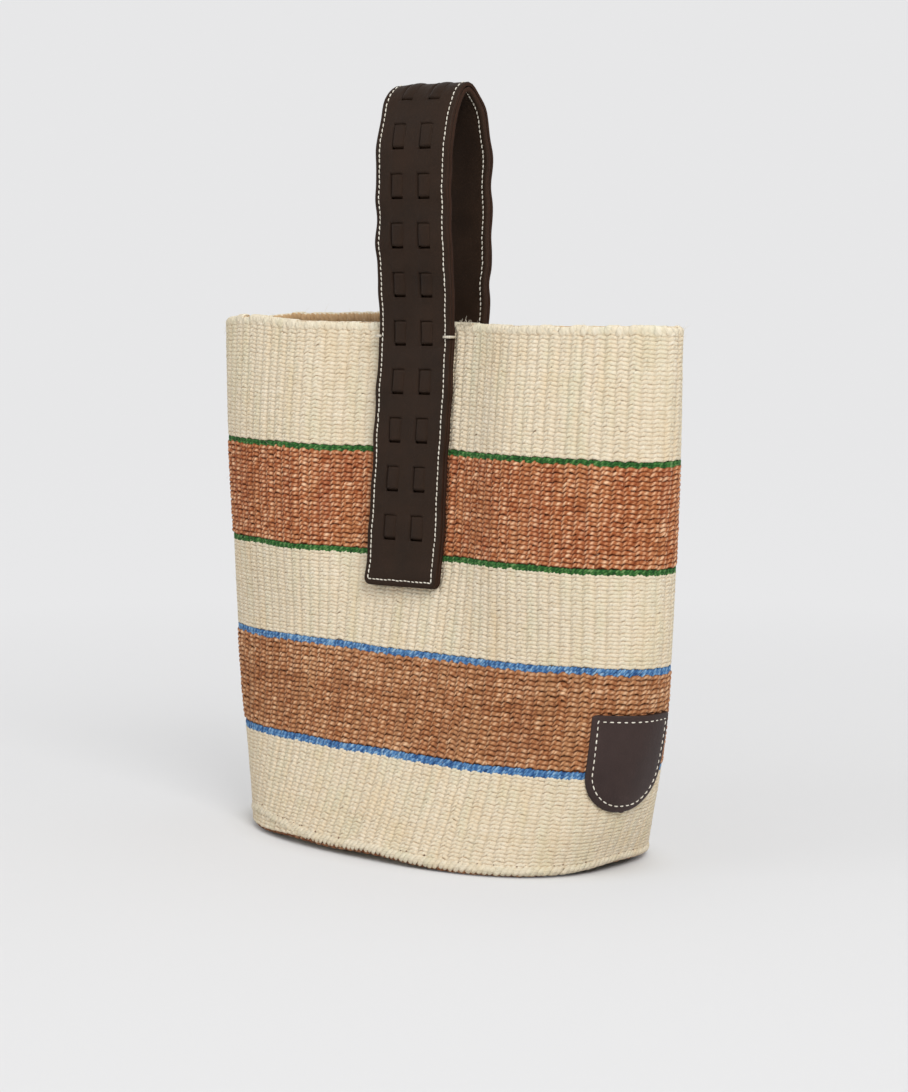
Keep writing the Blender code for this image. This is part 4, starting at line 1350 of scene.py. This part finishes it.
def rim_tie(name, part, fuller=0.0003):
    """A tie of thread at the rim, a little fuller than its solid."""
    shell = bmesh.new()
    shell.from_mesh(part.data)
    bmesh.ops.remove_doubles(shell, verts=shell.verts, dist=0.00001)
    bmesh.ops.triangulate(shell, faces=shell.faces)
    shell.normal_update()
    shell.verts.index_update()
    points = np.array([part.matrix_world @ (v.co + v.normal * fuller) for v in shell.verts])
    faces = np.array([[v.index for v in face.verts] for face in shell.faces])
    shell.free()
    return make(name + "_thread", points, [faces], ("thread",),
                np.tile((0.3, 0.15, 0.0), (len(points), 1)), points[:, [0, 2, 1]])


for name in [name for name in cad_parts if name.startswith("rim_tie")]:
    tie = rim_tie(name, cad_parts[name])
    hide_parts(name)
    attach(tie, "basket")


# Studio

FLOOR_REACH, COVE = 3.2, 2.2


def studio_floor():
    """A pale floor that curves up all round into a wall, as one turned profile."""
    profile = [(r, 0.0) for r in np.linspace(0.001, FLOOR_REACH, 12)]
    profile += [(FLOOR_REACH + COVE * sin(t), COVE * (1 - cos(t)))
                for t in np.linspace(0.08, pi / 2, 18)]
    profile += [(5.4, 3.2), (5.4, 4.4)]
    turn = np.linspace(0, 2 * pi, 97)[:-1]
    radius, height = np.array(profile).T
    points = np.stack((radius[:, None] * np.cos(turn), radius[:, None] * np.sin(turn),
                       np.repeat(height[:, None], len(turn), 1)), -1)
    faces = ring_faces(len(profile), len(turn))
    mesh = bpy.data.meshes.new("studio_floor")
    mesh.from_pydata(points.reshape(-1, 3).tolist(), [], [*faces[:, ::-1].tolist(),
                                                          list(range(len(turn)))])
    mesh.shade_smooth()
    floor = add("studio_floor", mesh)
    made, tree, shader = new_material("studio_paper")
    place = object_place(tree)
    cloud = noise(tree, place, 1.3, 2.0)
    colour = ramp(tree, cloud, ((0.3, (0.70, 0.70, 0.70, 1)), (0.7, (0.72, 0.72, 0.72, 1))))
    feed(tree, shader, {"Base Color": colour, "Roughness": 0.9, "Specular IOR Level": 0.1})
    # The camera and reflections see an even pale paper, more so further from the object
    glow = node(tree, "ShaderNodeEmission", {"Color": linear((233, 233, 234))})
    rays = node(tree, "ShaderNodeLightPath").outputs
    seen = maths(tree, "MAXIMUM", rays["Is Camera Ray"], rays["Is Glossy Ray"])
    # Round the base, an oval, the paper keeps a narrow dark contact shadow
    oval = node(tree, "ShaderNodeVectorMath", {0: place, 1: (1, 1.68, 1)}, operation="MULTIPLY")
    near = node(tree, "ShaderNodeVectorMath", {0: oval.outputs[0]}, operation="LENGTH")
    contact = ranged(tree, near.outputs["Value"], 0.120, 0.150, 0.0, 0.45)
    away = node(tree, "ShaderNodeVectorMath", {0: place}, operation="LENGTH").outputs["Value"]
    share = maths(tree, "ADD", ranged(tree, away, 0.15, 1.1, 0.0, 0.51), contact)
    blend = node(tree, "ShaderNodeMixShader", {
        0: maths(tree, "MULTIPLY", seen, share),
        1: shader.outputs[0], 2: glow.outputs[0]})
    tree.links.new(blend.outputs[0], tree.nodes["Material Output"].inputs["Surface"])
    mesh.materials.append(made)


def area_light(name, place, target, size, power):
    """A square soft white light aimed at a point."""
    data = bpy.data.lights.new(name, "AREA")
    data.size = size
    data.energy = power
    light = add(name, data)
    light.location = place
    aim = unit(np.array(target) - np.array(place))
    light.rotation_euler = (
        np.arccos(-aim[2]), 0.0, np.arctan2(aim[1], aim[0]) - pi / 2)


CAMERA_TURN, CAMERA_DROP = radians(40.3), radians(6.08)
CAMERA_PLACE = (1.0626, -1.2427, 0.3400)
CAMERA_LENS = 97.02


def studio():
    """Floor, lights, world and the photograph's camera."""
    studio_floor()
    target = (0, 0, 0.2)
    area_light("key", (2.3, -1.3, 2.2), target, 1.5, 74)
    area_light("fill", (-1.2, -2.4, 1.5), target, 2.0, 20)
    area_light("top", (-0.2, 0.4, 2.9), target, 2.2, 14)
    world = bpy.data.worlds.new("studio_world")
    world.use_nodes = True
    shade = world.node_tree.nodes["Background"]
    shade.inputs["Color"].default_value = (1, 1, 1, 1)
    shade.inputs["Strength"].default_value = 0.55
    bpy.context.scene.world = world
    data = bpy.data.cameras.new("photo_camera")
    data.lens = CAMERA_LENS
    data.sensor_width = 36
    data.dof.use_dof = False
    camera = add("photo_camera", data)
    camera.location = CAMERA_PLACE
    camera.rotation_euler = (pi / 2 - CAMERA_DROP, 0, CAMERA_TURN)
    bpy.context.scene.camera = camera
    bpy.context.scene.view_settings.view_transform = "Standard"


studio()
